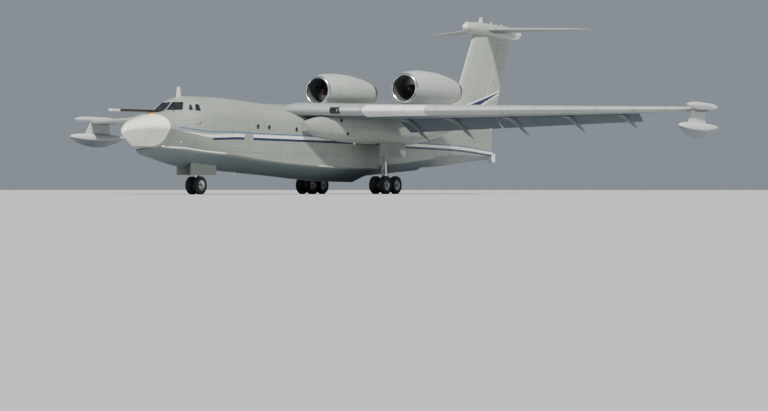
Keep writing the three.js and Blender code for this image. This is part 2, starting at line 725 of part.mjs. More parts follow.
const probe = { front: 3.38, back: 3.46, end: 3.6, radius: 0.065, tipRadius: 0.05 };
const probeStrut = { half: 0.06, front: 2.27, back: 2.82, low: 3.0, high: 3.42 };

function refuellingProbe() {
  const sleeve = rod([0, probeTipY + 0.02, probe.front], [0, probe.end, probe.back], probe.radius, 12);
  const tip = rod([0, probeTipY, probe.front], [0, -0.25, 3.40], probe.tipRadius, 12);
  const tube = join(sleeve, tip);
  const { half, front, back, low, high } = probeStrut;
  const plan = [[half, front], [half, back], [-half, back], [-half, front]];
  const strut = loft([low, high].map((z) => plan.map(([x, y]) => [x, y, z])));
  return cut(join(tube, strut), hullSeat);
}

// Landing gear.

const axlePin = 0.06;
const axleSides = 16;
const wheelSides = 20;
const noseStrut = {
  joint: 0.42, radius: 0.10, stayRadius: 0.05, stayLow: 0.62, stayHigh: 1.36, stayBack: 0.95,
};
const mainStrut = {
  radius: 0.15, pistonRadius: 0.10, stayRadius: 0.06, stayLow: 1.0, stayHigh: 3.12, stayBack: 1.15,
};
const stayFoot = 0.12;
const hubBlock = { halfWidth: 0.085, half: 0.12, beamHalf: 0.11, beamEnd: 0.14, bore: 0.2 };
const doorHalf = 0.015;
const doorInset = 0.05;

// Twin wheels on one axle, hub faces a little inside the tyres; a flat of each tyre is on the ground.
function wheelSet(y, radius, halfGap, width, axleReach) {
  const z = groundZ + radius;
  const tread = radius / Math.cos(Math.PI / wheelSides);
  const half = width / 2;
  const side = [[0, half - 0.05], [0.60 * tread, half - 0.05], [0.68 * tread, half], [tread, 0.55 * half]];
  const profile = [...side, ...side.map(([r, x]) => [r, -x]).reverse()];
  const wheels = [-halfGap, halfGap].map((x) => turnedAcross(profile, y, z, wheelSides).translate(x, 0, 0));
  return join(rod([-axleReach, y, z], [axleReach, y, z], axlePin, axleSides), ...wheels);
}

function noseLeg() {
  const { y } = noseGear;
  const { joint, radius, stayRadius, stayLow, stayHigh, stayBack } = noseStrut;
  const top = noseBay.roof - seatGap;
  const leg = rod([0, y, joint], [0, y, top], radius, 12);
  const stay = rod([0, y, stayLow], [0, y + stayBack, stayHigh], stayRadius, 8);
  const end = y + stayBack;
  const foot = block(-stayFoot, stayFoot, end - stayFoot, end + stayFoot, stayHigh - 0.08, top);
  return join(leg, stay, foot);
}

function noseFork() {
  const { y } = noseGear;
  const { halfWidth, half, bore: reach } = hubBlock;
  const axleZ = groundZ + noseGear.wheelRadius;
  const strut = rod([0, y, axleZ], [0, y, noseStrut.joint - seatGap], 0.075, 12);
  const hub = block(-halfWidth, halfWidth, y - half, y + half, axleZ - half, axleZ + half);
  const towLug = block(-0.05, 0.05, y - 0.24, y - 0.11, axleZ - 0.05, axleZ + 0.05);
  const bore = rod([-reach, y, axleZ], [reach, y, axleZ], boreRadius(axlePin, axleSides), axleSides);
  return cut(join(strut, hub, towLug), bore);
}

function door(x, bay, low, high) {
  return block(x - doorHalf, x + doorHalf, bay.front + doorInset, bay.back - doorInset, low, high);
}

function noseDoor() {
  return cut(door(noseBay.halfWidth + 0.02, noseBay, 0.30, 1.3), hullSeat);
}

function mainLeg() {
  const { x, y, wheelRadius } = mainGear;
  const { radius, pistonRadius, stayRadius, stayLow, stayHigh, stayBack } = mainStrut;
  const top = mainBay.roof - seatGap;
  const piston = rod([x, y, groundZ + wheelRadius + hubBlock.beamHalf], [x, y, 1.3], pistonRadius, 12);
  const cylinder = rod([x, y, 1.2], [x, y, top], radius, 12);
  const stay = rod([x, y, stayLow], [x, y + stayBack, stayHigh], stayRadius, 8);
  const end = y + stayBack;
  const foot = block(x - stayFoot, x + stayFoot, end - 0.15, end + 0.15, stayHigh - 0.07, top);
  return join(join(piston, cylinder), stay, foot);
}

function bogieBeam() {
  const { x, y, wheelRadius, axleSpread } = mainGear;
  const { halfWidth, beamHalf, beamEnd, bore: reach } = hubBlock;
  const axleZ = groundZ + wheelRadius;
  const half = axleSpread + beamEnd;
  const [low, high] = [axleZ - beamHalf, axleZ + beamHalf - seatGap];
  const beam = block(x - halfWidth, x + halfWidth, y - half, y + half, low, high);
  const bores = [y - axleSpread, y + axleSpread].map((at) => {
    return rod([x - reach, at, axleZ], [x + reach, at, axleZ], boreRadius(axlePin, axleSides), axleSides);
  });
  return cut(beam, ...bores);
}

function mainDoor() {
  return cut(door(mainBay.outer + 0.02, mainBay, 1.45, 2.9), podSeat, hullSeat);
}

// The assembly.

add('radome', radome(), paint.radome);
add('forward_hull', forwardHull(), paint.hull);
add('flight_deck_glazing', flightDeckGlazing(), paint.glass);
add('flight_deck', flightDeck(), paint.seat);
add('centre_hull', centreHull(), paint.hull);
add('after_hull', afterHull(), paint.hull);
add('refuelling_probe', refuellingProbe(), paint.dark);
addPair('wing', wingPanel(), paint.hull);
addPair('slat', slat(), paint.hull);
addPair('inner_flap', flap('inner'), paint.hull);
addPair('outer_flap', flap('outer'), paint.hull);
addPair('aileron', aileron(), paint.hull);
addPair('tip_pod', tipPod(), paint.hull);
addPair('tip_float', tipFloatWithPylon(), paint.hull);
addPair('gear_pod', gearPod(), paint.hull);
addPair('booster_nozzle', boosterNozzle(), paint.metal);
addPair('nacelle', nacelle(), paint.hull);
addPair('fan', fan(), paint.metal);
addPair('engine_block', engineBlock(), paint.metal);
addPair('engine_pylon', enginePylon(), paint.hull);
add('fin', fin(), paint.hull);
add('rudder', rudder(), paint.hull);
add('tail_bullet', turned(bulletProfile, 0, tail.height, engineSides), paint.hull);
addPair('tailplane', tailplane(), paint.hull);
addPair('elevator', elevator(), paint.hull);
add('water_rudder', waterRudderBlade(), paint.hull);
add('nose_leg', noseLeg(), paint.metal);
add('nose_fork', noseFork(), paint.metal);
const { y: noseAxleY, wheelRadius: noseRadius, wheelHalfGap: noseHalfGap, wheelWidth: noseWidth } = noseGear;
add('nose_wheels', wheelSet(noseAxleY, noseRadius, noseHalfGap, noseWidth, 0.40), paint.tyre);
addPair('nose_door', noseDoor(), paint.hull);
addPair('main_leg', mainLeg(), paint.metal);
addPair('bogie_beam', bogieBeam(), paint.metal);
for (const [end, step] of [['front', -1], ['rear', 1]]) {
  const { x, y, wheelRadius, wheelHalfGap, wheelWidth, axleSpread } = mainGear;
  const wheels = wheelSet(y + step * axleSpread, wheelRadius, wheelHalfGap, wheelWidth, 0.50);
  addPair(`main_wheels_${end}`, wheels.translate(x, 0, 0), paint.tyre);
}
addPair('outer_gear_door', mainDoor(), paint.hull);

export default aircraft;
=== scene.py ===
# %% [markdown]
# # A flying boat on its wheels, at half size
# The solids of the aircraft come in as a fixed frame, each on the body that it moves with. They
# could keep their own faces and only get materials, but those faces are coarse. So nearly every
# skin is made again as a fine surface, from the same tables of stations, and lies on its solid.

import bpy
import numpy as np
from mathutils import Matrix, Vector


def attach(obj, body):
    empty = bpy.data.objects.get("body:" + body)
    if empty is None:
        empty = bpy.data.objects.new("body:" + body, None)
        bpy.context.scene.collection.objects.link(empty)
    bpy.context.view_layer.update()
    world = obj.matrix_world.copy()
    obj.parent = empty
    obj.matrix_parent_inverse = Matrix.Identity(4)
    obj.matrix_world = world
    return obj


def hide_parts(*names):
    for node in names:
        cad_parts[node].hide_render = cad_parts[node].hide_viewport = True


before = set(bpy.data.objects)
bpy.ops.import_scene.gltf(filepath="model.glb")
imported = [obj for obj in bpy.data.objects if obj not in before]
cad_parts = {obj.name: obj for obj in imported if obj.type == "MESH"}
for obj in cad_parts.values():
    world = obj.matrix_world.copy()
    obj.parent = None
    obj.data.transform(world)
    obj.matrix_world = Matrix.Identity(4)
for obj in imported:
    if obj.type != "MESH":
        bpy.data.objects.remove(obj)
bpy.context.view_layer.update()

# %% [markdown]
# The shapes are written in the aircraft's own metres: x to port, y aft from the radome's tip and z
# up from the keel. They could be written at half size at once, but then no number could be checked
# against the real aircraft. One function turns them into the model's metres at the very end.

# %% The aircraft's metres
MODEL_SCALE = 0.5
MIDDLE_Y = 20.92
KEEL_CLEARANCE = 0.70


def in_model(points):
    """Model metres: half of the aircraft's metres, counted from under its middle on the ground."""
    return (np.asarray(points, float) - [0, MIDDLE_Y, -KEEL_CLEARANCE]) * MODEL_SCALE


print("the radome's tip in the model", in_model([0, 0, 2.34]).round(2))

# %% [markdown]
# A hull or a wing is known only at a few stations. Straight lines between them would show as kinks,
# and an ordinary spline can swell past the numbers that it is given. This curve is smooth and never
# overshoots, so a stretch that is level in the table stays level.

# %% A smooth curve through a table
def eased(table, at):
    """Every column of a table as a smooth curve of its first column, by cubic pieces that never overshoot.

    The slope at a row is the harmonic mean of the slopes on both sides, or 0 where they disagree.
    """
    table = np.asarray(table, float)
    x, y = table[:, 0], table[:, 1:]
    step = np.diff(x)[:, None]
    slope = np.diff(y, axis=0) / step
    before, after = slope[:-1], slope[1:]
    together = before * after > 0
    total = np.where(together, before + after, 1)
    inner = np.where(together, 2 * before * after / total, 0)
    tangent = np.vstack([slope[:1], inner, slope[-1:]])
    at = np.clip(np.asarray(at, float), x[0], x[-1])
    i = np.clip(np.searchsorted(x, at, side="right") - 1, 0, len(x) - 2)
    t = ((at - x[i]) / step[i, 0])[:, None]
    value = y[i] * (1 + 2 * t) * (1 - t) ** 2 + y[i + 1] * t ** 2 * (3 - 2 * t)
    return value + step[i] * (tangent[i] * t * (1 - t) ** 2 - tangent[i + 1] * t ** 2 * (1 - t))


print("a level stretch stays level", eased([[0, 0], [1, 1], [2, 1]], [0.5, 1.0, 1.5])[:, 0])

# %% [markdown]
# The photograph looks at the aircraft from 31 degrees off its nose, to port, and from below. Here
# it stands on the ground, so the camera stands almost on the floor. A near camera with a wide lens
# would swell the nose, so this one stands far back with a long lens. The light is one soft sun with
# a weak fill and a pale sky, because lamps round something this long would light it in patches.

# %% Camera and light
VIEW_FROM_NOSE = np.radians(30.6)
VIEW_DISTANCE = 56.0
CAMERA_HEIGHT = 0.12
LOOK_ASIDE = 1.02
LOOK_HEIGHT = -0.33
LENS = 91.0
SIGHT_REACH = 3000.0

camera_data = bpy.data.cameras.new("camera")
camera_data.lens = LENS
camera_data.clip_end = SIGHT_REACH
camera = bpy.data.objects.new("camera", camera_data)
bpy.context.collection.objects.link(camera)
across_view = Vector((np.cos(VIEW_FROM_NOSE), np.sin(VIEW_FROM_NOSE), 0))
towards_camera = Vector((np.sin(VIEW_FROM_NOSE), -np.cos(VIEW_FROM_NOSE), 0))
look_at = across_view * LOOK_ASIDE + Vector((0, 0, LOOK_HEIGHT))
stand = across_view * LOOK_ASIDE + towards_camera * VIEW_DISTANCE
camera.location = stand + Vector((0, 0, CAMERA_HEIGHT))
camera.rotation_euler = (look_at - camera.location).to_track_quat("-Z", "Y").to_euler()
bpy.context.scene.camera = camera


def sun(name, shines_from, strength, softness, colour):
    """A sun that shines from a direction, with a soft edge to its shadows."""
    data = bpy.data.lights.new(name, "SUN")
    data.energy = strength
    data.angle = np.radians(softness)
    data.color = colour
    light = bpy.data.objects.new(name, data)
    light.rotation_euler = Vector(shines_from).to_track_quat("Z", "Y").to_euler()
    bpy.context.collection.objects.link(light)


SKY_COLOUR, SKY_STRENGTH = (0.74, 0.83, 0.95, 1), 0.34
sun("key light", shines_from=(0.50, -0.50, 1.0), strength=5.6, softness=6, colour=(1.0, 0.96, 0.87))
sun("fill light", shines_from=(0.3, -0.9, 0.5), strength=0.3, softness=60, colour=(0.90, 0.94, 1.0))
sky = bpy.data.worlds.new("studio")
sky.use_nodes = True
sky_inputs = sky.node_tree.nodes["Background"].inputs
sky_inputs["Color"].default_value = SKY_COLOUR
sky_inputs["Strength"].default_value = SKY_STRENGTH
bpy.context.scene.world = sky
print("camera", [round(v, 2) for v in camera.location])

# %% [markdown]
# Each finish is a small recipe of shader nodes. They could be drawn by hand in the node editor, but
# a script repeats a recipe exactly and with other numbers. The helper adds one node at a time and
# joins it to the values or sockets that it is given, so a recipe reads like a list of steps.

# %% A recipe of shader nodes
COLOUR_A, COLOUR_B, COLOUR_OUT = 6, 7, 2


class Recipe:
    """A material under construction, with its Principled shader ready."""

    def __init__(self, name, slot="hull_paint", **constants):
        self.material = bpy.data.materials.new(name)
        self.material.use_nodes = True
        self.tree = self.material.node_tree
        self.shader = self.tree.nodes["Principled BSDF"]
        for socket, value in constants.items():
            self.shader.inputs[socket.replace("_", " ")].default_value = value

    def add(self, kind, inputs=(), output=0, **settings):
        """One node: settings are its own properties, inputs are (socket, value or source) pairs."""
        node = self.tree.nodes.new(kind)
        for key, value in settings.items():
            setattr(node, key, value)
        for socket, value in inputs:
            if isinstance(value, bpy.types.NodeSocket):
                self.tree.links.new(value, node.inputs[socket])
            else:
                node.inputs[socket].default_value = value
        return node.outputs[output]

    def work(self, operation, *values):
        """One step of arithmetic."""
        return self.add("ShaderNodeMath", list(enumerate(values)), operation=operation)

    def times(self, *values):
        """The product of all the values."""
        result = values[0]
        for value in values[1:]:
            result = self.work("MULTIPLY", result, value)
        return result

    def blend(self, amount, first, second):
        """The first colour, with the second over it by the amount."""
        pairs = [("Factor", amount), (COLOUR_A, first), (COLOUR_B, second)]
        return self.add("ShaderNodeMix", pairs, COLOUR_OUT, data_type="RGBA")

    def aircraft_metres(self):
        """The place on the object, turned back into the aircraft's own metres."""
        place = self.add("ShaderNodeTexCoord", output="Object")
        back = (1 / MODEL_SCALE, 1 / MODEL_SCALE, 1 / MODEL_SCALE)
        pairs = [("Vector", place), ("Location", (0, MIDDLE_Y, -KEEL_CLEARANCE)), ("Scale", back)]
        return self.add("ShaderNodeMapping", pairs)

    def aft(self, place):
        """How far aft a place is."""
        return self.add("ShaderNodeSeparateXYZ", [("Vector", place)], "Y")

    def noise(self, place, scale, detail=3.0, stretch=None):
        """Cloudy noise between 0 and 1, stretched where a stretch is given."""
        if stretch:
            place = self.add("ShaderNodeMapping", [("Vector", place), ("Scale", stretch)])
        pairs = [("Vector", place), ("Scale", scale), ("Detail", detail)]
        return self.add("ShaderNodeTexNoise", pairs)

    def between(self, value, low, high, start=0.0, end=1.0):
        """The value moved from one range to another, and kept inside it."""
        pairs = [("Value", value), ("From Min", low), ("From Max", high), ("To Min", start), ("To Max", end)]
        return self.add("ShaderNodeMapRange", pairs)

    def mark(self, name):
        """A number that the piece carries at each vertex."""
        return self.add("ShaderNodeAttribute", output="Fac", attribute_name=name)

    def finish(self, **sources):
        """Joins colours and values to the shader and returns the material."""
        for socket, value in sources.items():
            self.tree.links.new(value, self.shader.inputs[socket.replace("_", " ")])
        return self.material


def shade(colour, factor):
    """A colour lighter or darker by a factor, with its alpha."""
    return [min(1.0, c * factor) for c in colour] + [1]


print("a grey made half as light", shade((0.4, 0.4, 0.4), 0.5))

# %% [markdown]
# Aircraft paint is satin, never one flat colour: sun and rain fade it in soft clouds, the slipstream
# draws faint streaks, and sheet edges show as thin dark seams with a small step. Seams could be cut
# into the mesh, at the cost of many faces. Here they come from two numbers on each vertex, counted
# in panels, so the lines follow every curve of the skin.

# %% Paint with seams
SEAM_WIDTH = 0.014
SEAM_COLOUR = (0.10, 0.11, 0.11, 1)


def seam_lines(recipe, share):
    """1 on a thin line wherever the panel count passes a whole number, else 0."""
    part_way = recipe.work("FRACT", share)
    from_middle = recipe.work("ABSOLUTE", recipe.work("SUBTRACT", part_way, 0.5))
    return recipe.between(recipe.work("SUBTRACT", 0.5, from_middle), SEAM_WIDTH, SEAM_WIDTH * 0.4)


def paint_base(recipe, colour, under=None):
    """Weathered colour with any painted shade below, and the values that the bump and gloss share: place,
    grain and seams.
    """
    place = recipe.aircraft_metres()
    clouds = recipe.between(recipe.noise(place, 0.30, 2), 0.35, 0.70)
    grain = recipe.noise(place, 4.0, 5)
    streaks = recipe.between(recipe.noise(place, 1.0, 4, (0.9, 0.18, 2.2)), 0.46, 0.75, 0, 0.7)
    tone = recipe.blend(clouds, shade(colour, 0.97), shade(colour, 1.07))
    # Under the mark "under" the tone gives way to a darker painted shade.
    if under:
        tone = recipe.blend(recipe.mark("under"), tone, shade(under, 1))
    faded = recipe.times(streaks, recipe.between(grain, 0.3, 0.8))
    tone = recipe.blend(faded, tone, shade(colour, 0.72))
    across_seams = seam_lines(recipe, recipe.mark("panel_across"))
    along_seams = seam_lines(recipe, recipe.mark("panel_along"))
    return place, tone, grain, recipe.work("MAXIMUM", across_seams, along_seams)


def paint_top(recipe, tone, grain, seams, rough):
    """Seams darkened and sunk, and the gloss broken by grain."""
    dark = recipe.blend(recipe.times(seams, 0.5), tone, SEAM_COLOUR)
    height = recipe.work("SUBTRACT", recipe.times(grain, 0.12), seams)
    bump = recipe.add("ShaderNodeBump", [("Strength", 0.25), ("Distance", 0.006), ("Height", height)])
    gloss = recipe.between(grain, 0.3, 0.75, rough - 0.05, rough + 0.12)
    return recipe.finish(Base_Color=dark, Roughness=gloss, Normal=bump)


def paint(name, colour, slot, rough=0.36, under=None, over=None):
    """Weathered paint: a darker painted shade may lie under the mark "under", and a livery over the tone."""
    recipe = Recipe(name, slot)
    place, tone, grain, seams = paint_base(recipe, colour, under)
    if over:
        tone = over(recipe, place, tone)
    return paint_top(recipe, tone, grain, seams, rough)


print("a seam with its soft sides is", 2 * SEAM_WIDTH, "of a panel wide")

# %% [markdown]
# The aircraft is light grey, with a darker painted shade on its undersides, a cream radome, pale floats
# and one bright slat. Each could be a copy of one material with a changed colour. One function that
# mixes the paint anew keeps them alike, and still lets a finish be smoother or have a corner of its own.

# %% Plain paints
HULL_GREY = (0.285, 0.315, 0.288)
WING_GREY = (0.30, 0.335, 0.335)
# Painted shade for the undersides of the wing and the tailplane.
UNDER_SHADE = (0.085, 0.115, 0.145)
# Painted shade for the hull's V bottom below its chine.
BOTTOM_SHADE = (0.115, 0.150, 0.165)


def corner_over(recipe, place, tone):
    """The hull's grey wherever the mark "corner" is above 0, beyond the radome's rounded edge."""
    return recipe.blend(recipe.work("GREATER_THAN", recipe.mark("corner"), 0.0), tone, shade(HULL_GREY, 1.03))


wing_paint = paint("wing paint", WING_GREY, "wing_paint", under=UNDER_SHADE)
slat_white = paint("bright slat paint", (0.76, 0.79, 0.80), "wing_paint")
slat_paint = paint("slat paint", (0.40, 0.435, 0.43), "wing_paint")
pod_paint = paint("pod paint", HULL_GREY, "hull_paint")
# The floats carry a painted shade on the V below their chine.
float_paint = paint("float paint", (0.55, 0.58, 0.57), "wing_paint", under=(0.17, 0.21, 0.24))
nacelle_paint = paint("nacelle paint", (0.42, 0.455, 0.435), "nacelle_paint")
radome_paint = paint("radome paint", (0.86, 0.835, 0.74), "radome_paint", 0.26, over=corner_over)
white_paint = paint("white paint", (0.80, 0.81, 0.80), "hull_paint", 0.32)
bay_paint = paint("bay primer", (0.17, 0.20, 0.17), "hull_paint", 0.6)

# %% [markdown]
# The livery is three bands along the hull, and an arrow on the tail. An image could carry it, but
# its edges would blur close up. Here a band is a range of one number, the height above the bands'
# own line, and the arrow is what lies inside one pair of straight lines and outside another pair,
# seen from the side. Both stay sharp at every distance.

# %% The livery's bands and arrow
BAND_LINE = [[2.0, 2.52], [3.0, 2.43], [5.0, 2.33], [7.5, 2.40], [20.0, 2.40], [24.5, 2.27], [31.0, 2.24],
             [34.4, 2.17], [37.7, 2.04], [38.7, 2.00]]
MID_BLUE = (0.05, 0.13, 0.36, 1)
DARK_BLUE = (0.010, 0.018, 0.075, 1)
BAND_WHITE = (0.90, 0.92, 0.92, 1)
WHITE_DEPTH = 0.15
BANDS_DEPTH = 0.285
EDGE_LINE = 0.05
WHITE_FROM, WHITE_FULL_FROM, DARK_FROM, LINE_FROM = 2.95, 5.0, 5.2, 2.75
GAP_FROM, GAP_TO = 7.86, 8.64
LINE_DEPTH, LINE_LIFT, LINE_LIFT_FRONT, LINE_LEVEL_FROM = 0.05, 0.045, 0.155, 9.0
ARROW_FROM = 28.9
ARROW_TOP, ARROW_LOW = [(29.2, 3.70), (39.3, 5.93)], [(30.4, 3.37), (38.6, 3.55)]
NOTCH_TOP, NOTCH_LOW = [(34.05, 4.17), (39.3, 5.73)], [(34.05, 4.17), (38.7, 3.52)]


def inside(recipe, value, low, high):
    """1 where the value is between low and high, else 0."""
    return recipe.times(recipe.work("GREATER_THAN", value, low), recipe.work("LESS_THAN", value, high))


def beyond_line(recipe, place, start, end):
    """How far a place is above the line through two [y, z] points, square to that line, in metres."""
    (y0, z0), (y1, z1) = start, end
    length = np.hypot(y1 - y0, z1 - z0)
    square = (0, -(z1 - z0) / length, (y1 - y0) / length)
    along = recipe.add("ShaderNodeVectorMath", [(0, place), (1, square)], "Value", operation="DOT_PRODUCT")
    return recipe.work("SUBTRACT", along, square[1] * y0 + square[2] * z0)


def arrow_over(recipe, place, tone):
    """The tail's dark arrow with white edges: inside the outer lines and outside the notch."""
    lines = (ARROW_TOP, ARROW_LOW, NOTCH_TOP, NOTCH_LOW)
    outer_top, outer_low, notch_top, notch_low = (beyond_line(recipe, place, *line) for line in lines)
    aft = recipe.work("GREATER_THAN", recipe.aft(place), ARROW_FROM)
    above_low = recipe.work("GREATER_THAN", outer_low, 0)
    body = recipe.times(recipe.work("LESS_THAN", outer_top, 0), above_low)
    notch = recipe.times(recipe.work("LESS_THAN", notch_top, 0), recipe.work("GREATER_THAN", notch_low, 0))
    arrow = recipe.times(body, recipe.work("SUBTRACT", 1, notch), aft)
    top_edge = recipe.times(inside(recipe, outer_top, -EDGE_LINE, EDGE_LINE), above_low)
    notch_edge = recipe.times(inside(recipe, notch_top, -EDGE_LINE, EDGE_LINE),
                              recipe.work("GREATER_THAN", notch_low, -EDGE_LINE))
    low_edge = recipe.times(inside(recipe, notch_low, -EDGE_LINE, EDGE_LINE),
                            recipe.work("LESS_THAN", notch_top, EDGE_LINE))
    edges = recipe.work("MAXIMUM", top_edge, recipe.work("MAXIMUM", notch_edge, low_edge))
    return recipe.blend(recipe.times(edges, aft), recipe.blend(arrow, tone, DARK_BLUE), BAND_WHITE)


def bands_over(recipe, place, tone):
    """The thin mid-blue line, the white band and the dark band, with the bare gap behind the nose."""
    height = recipe.mark("band_height")
    y = recipe.aft(place)
    shown = recipe.work("SUBTRACT", 1, inside(recipe, y, GAP_FROM, GAP_TO))
    white_low = recipe.between(y, WHITE_FROM, WHITE_FULL_FROM, 0, -WHITE_DEPTH)
    white = recipe.times(inside(recipe, height, white_low, 0.0), shown,
                         recipe.work("GREATER_THAN", y, WHITE_FROM))
    dark = recipe.times(inside(recipe, height, -BANDS_DEPTH, -WHITE_DEPTH), shown,
                        recipe.work("GREATER_THAN", y, DARK_FROM))
    lift = recipe.between(y, LINE_FROM, LINE_LEVEL_FROM, LINE_LIFT_FRONT, LINE_LIFT)
    line = recipe.times(inside(recipe, recipe.work("SUBTRACT", height, lift), 0.0, LINE_DEPTH),
                        recipe.work("GREATER_THAN", y, LINE_FROM))
    tone = recipe.blend(line, tone, MID_BLUE)
    tone = recipe.blend(white, tone, BAND_WHITE)
    return recipe.blend(dark, tone, DARK_BLUE)


def livery_over(recipe, place, tone):
    """Everything that the hull carries: its bands, and the arrow's root over them."""
    return arrow_over(recipe, place, bands_over(recipe, place, tone))


hull_paint = paint("hull paint", HULL_GREY, "hull_paint", under=BOTTOM_SHADE, over=livery_over)
tail_paint = paint("tail paint", (0.40, 0.435, 0.40), "hull_paint", over=arrow_over)
print("the livery is", len(hull_paint.node_tree.nodes), "nodes on the hull's paint")

# %% [markdown]
# Metal, rubber, enamel and glass each get a recipe too. One shared material with a changed colour
# would be quicker, but the eye tells a tyre from a pipe by how its gloss breaks. Bare metal is never
# even: its grain breaks the gloss, and where it has been hot its colour shifts.

# %% Metal, rubber and glass
def worn(recipe, colour, rough, grain_scale, cloud_scale, tones, glosses, relief):
    """Clouds between two tones of a colour, and a fine grain that breaks both gloss and surface."""
    place = recipe.aircraft_metres()
    grain = recipe.noise(place, grain_scale, 4)
    tone = recipe.blend(recipe.noise(place, cloud_scale, 3), *(shade(colour, factor) for factor in tones))
    gloss = recipe.between(grain, 0.3, 0.7, rough - glosses[0], rough + glosses[1])
    bump = recipe.add("ShaderNodeBump", [("Strength", relief), ("Distance", 0.002), ("Height", grain)])
    return recipe.finish(Base_Color=tone, Roughness=gloss, Normal=bump)


def metal(name, slot, colour, rough, grain_scale=60.0):
    """Worn metal: its gloss and tone vary with a fine grain."""
    recipe = Recipe(name, slot, Metallic=1.0)
    return worn(recipe, colour, rough, grain_scale, 3.0, (0.85, 1.12), (0.08, 0.1), 0.15)


def coat(name, slot, colour, rough, grain_scale=30.0, spread=0.15):
    """Enamel, rubber or cloth: a soft change of tone and a broken gloss."""
    recipe = Recipe(name, slot)
    return worn(recipe, colour, rough, grain_scale, 2.0, (1 - spread, 1 + spread), (0.06, 0.08), 0.2)


def glass(name, slot, colour, rough=0.05):
    """Tinted glass, almost opaque from outside, with a faint film of dust that dulls it in patches."""
    recipe = Recipe(name, slot, Transmission_Weight=0.35, IOR=1.5)
    dust = recipe.between(recipe.noise(recipe.aircraft_metres(), 5.0, 4), 0.45, 0.8)
    tone = recipe.blend(dust, shade(colour, 1), shade(colour, 1.6))
    gloss = recipe.between(dust, 0, 1, rough, rough + 0.08)
    return recipe.finish(Base_Color=tone, Roughness=gloss)


# %% [markdown]
# These are the finishes of the fittings, the landing gear and the engines. A single enamel for all
# of them would look like a toy, so each has its own tone, gloss and size of grain.

# %% Finishes of the fittings
gear_enamel = coat("gear enamel", "gear_metal", (0.42, 0.46, 0.46), 0.35)
door_enamel = coat("door enamel", "hull_paint", (0.26, 0.288, 0.265), 0.4, 6.0, 0.06)
rubber = coat("tyre rubber", "tyre", (0.020, 0.020, 0.021), 0.75)
hose_rubber = coat("hose rubber", "gear_metal", (0.015, 0.015, 0.016), 0.5)
black_satin = coat("black satin", "probe_finish", (0.012, 0.012, 0.014), 0.4)
probe_white = coat("probe white", "probe_finish", (0.72, 0.73, 0.72), 0.35, 12.0, 0.05)
strut_orange = coat("weathered orange", "probe_finish", (0.42, 0.17, 0.055), 0.5, 14.0, 0.25)
# Painted shade for the inside of the gear pods' inlets.
vent_shade_coat = coat("vent painted shade", "hull_paint", (0.02, 0.022, 0.025), 0.6)
# Painted shade for the inside of the intakes.
duct_shade_coat = coat("duct painted shade", "nacelle_paint", (0.07, 0.075, 0.08), 0.5, 80.0)
seal_grey = coat("window seal", "hull_paint", (0.06, 0.065, 0.07), 0.6)
cabin_cloth = coat("cabin trim", "cabin_trim", (0.05, 0.055, 0.05), 0.9)
spinner_brown = coat("spinner", "fan_metal", (0.085, 0.040, 0.028), 0.4)
bright_steel = metal("bright steel", "gear_metal", (0.75, 0.76, 0.78), 0.14)
lip_alloy = metal("intake lip alloy", "nacelle_paint", (0.80, 0.81, 0.82), 0.22)
engine_steel = metal("engine steel", "engine_metal", (0.30, 0.29, 0.28), 0.45)
fan_titanium = metal("fan titanium", "fan_metal", (0.36, 0.37, 0.40), 0.3)
burnt_steel = metal("heat-tinted steel", "burnt_metal", (0.34, 0.28, 0.23), 0.38, 20.0)
booster_steel = metal("booster steel", "burnt_metal", (0.66, 0.65, 0.63), 0.32, 20.0)
wheel_alloy = metal("wheel alloy", "tyre", (0.52, 0.54, 0.55), 0.4)
deck_glass = glass("tinted glass", "glazing", (0.018, 0.026, 0.032))
red_lens = glass("red lens", "wing_paint", (0.55, 0.01, 0.008), 0.1)
green_lens = glass("green lens", "wing_paint", (0.01, 0.30, 0.08), 0.1)
clear_lens = glass("clear lens", "wing_paint", (0.55, 0.58, 0.60), 0.08)

# %% [markdown]
# A skin is a grid of points: row after row of rings, joined by quads and closed by a fan at each
# end. Loop cuts and extrusions by hand would give the same mesh once. A table gives it again at any
# density: the index table is one numpy sum, and the volume's sign says which way the faces look.

# %% Grids into skins
def ring_faces(rows, places):
    """The four corners of every quad between neighbouring rings, each ring closed on itself."""
    row, place = np.meshgrid(np.arange(rows - 1), np.arange(places), indexing="ij")
    onward = (place + 1) % places
    first, second = row * places, (row + 1) * places
    return np.stack([first + place, first + onward, second + onward, second + place], -1).reshape(-1, 4)


def facing_out(points, faces):
    """The faces turned outward: the corner triple products sum to the volume, whose sign tells."""
    a, b, c, d = (points[faces[:, k]] - points.mean(0) for k in range(4))
    volume = np.einsum("ij,ij->i", a, np.cross(b, c)) + np.einsum("ij,ij->i", a, np.cross(c, d))
    if volume.sum() > 0:
        return points, faces
    triangles = (faces[:, 3] == faces[:, 2])[:, None]
    return points, np.where(triangles, faces[:, [1, 0, 2, 2]], faces[:, ::-1])


def closed(grid):
    """A closed skin over rings, with a fan over each end ring; a triangle repeats its last corner."""
    rows, places = grid.shape[:2]
    points = np.vstack([grid.reshape(-1, 3), grid[0].mean(0)[None], grid[-1].mean(0)[None]])
    turn = np.arange(places)
    onward = (turn + 1) % places
    last = (rows - 1) * places
    front_middle, back_middle = np.full((2, places), rows * places) + [[0], [1]]
    fronts = np.stack([onward, turn, front_middle, front_middle], -1)
    backs = np.stack([last + turn, last + onward, back_middle, back_middle], -1)
    return facing_out(points, np.vstack([ring_faces(rows, places), fronts, backs]))


def looped(grid):
    """A skin whose last ring joins its first, such as a tyre or a nacelle's wall."""
    rows, places = grid.shape[:2]
    return facing_out(grid.reshape(-1, 3), ring_faces(rows + 1, places) % (rows * places))


def merged(shells):
    """Several skins as one table of points and one of faces."""
    starts = np.cumsum([0] + [len(points) for points, _ in shells[:-1]])
    faces = [shell_faces + start for (_, shell_faces), start in zip(shells, starts)]
    return np.vstack([points for points, _ in shells]), np.vstack(faces)


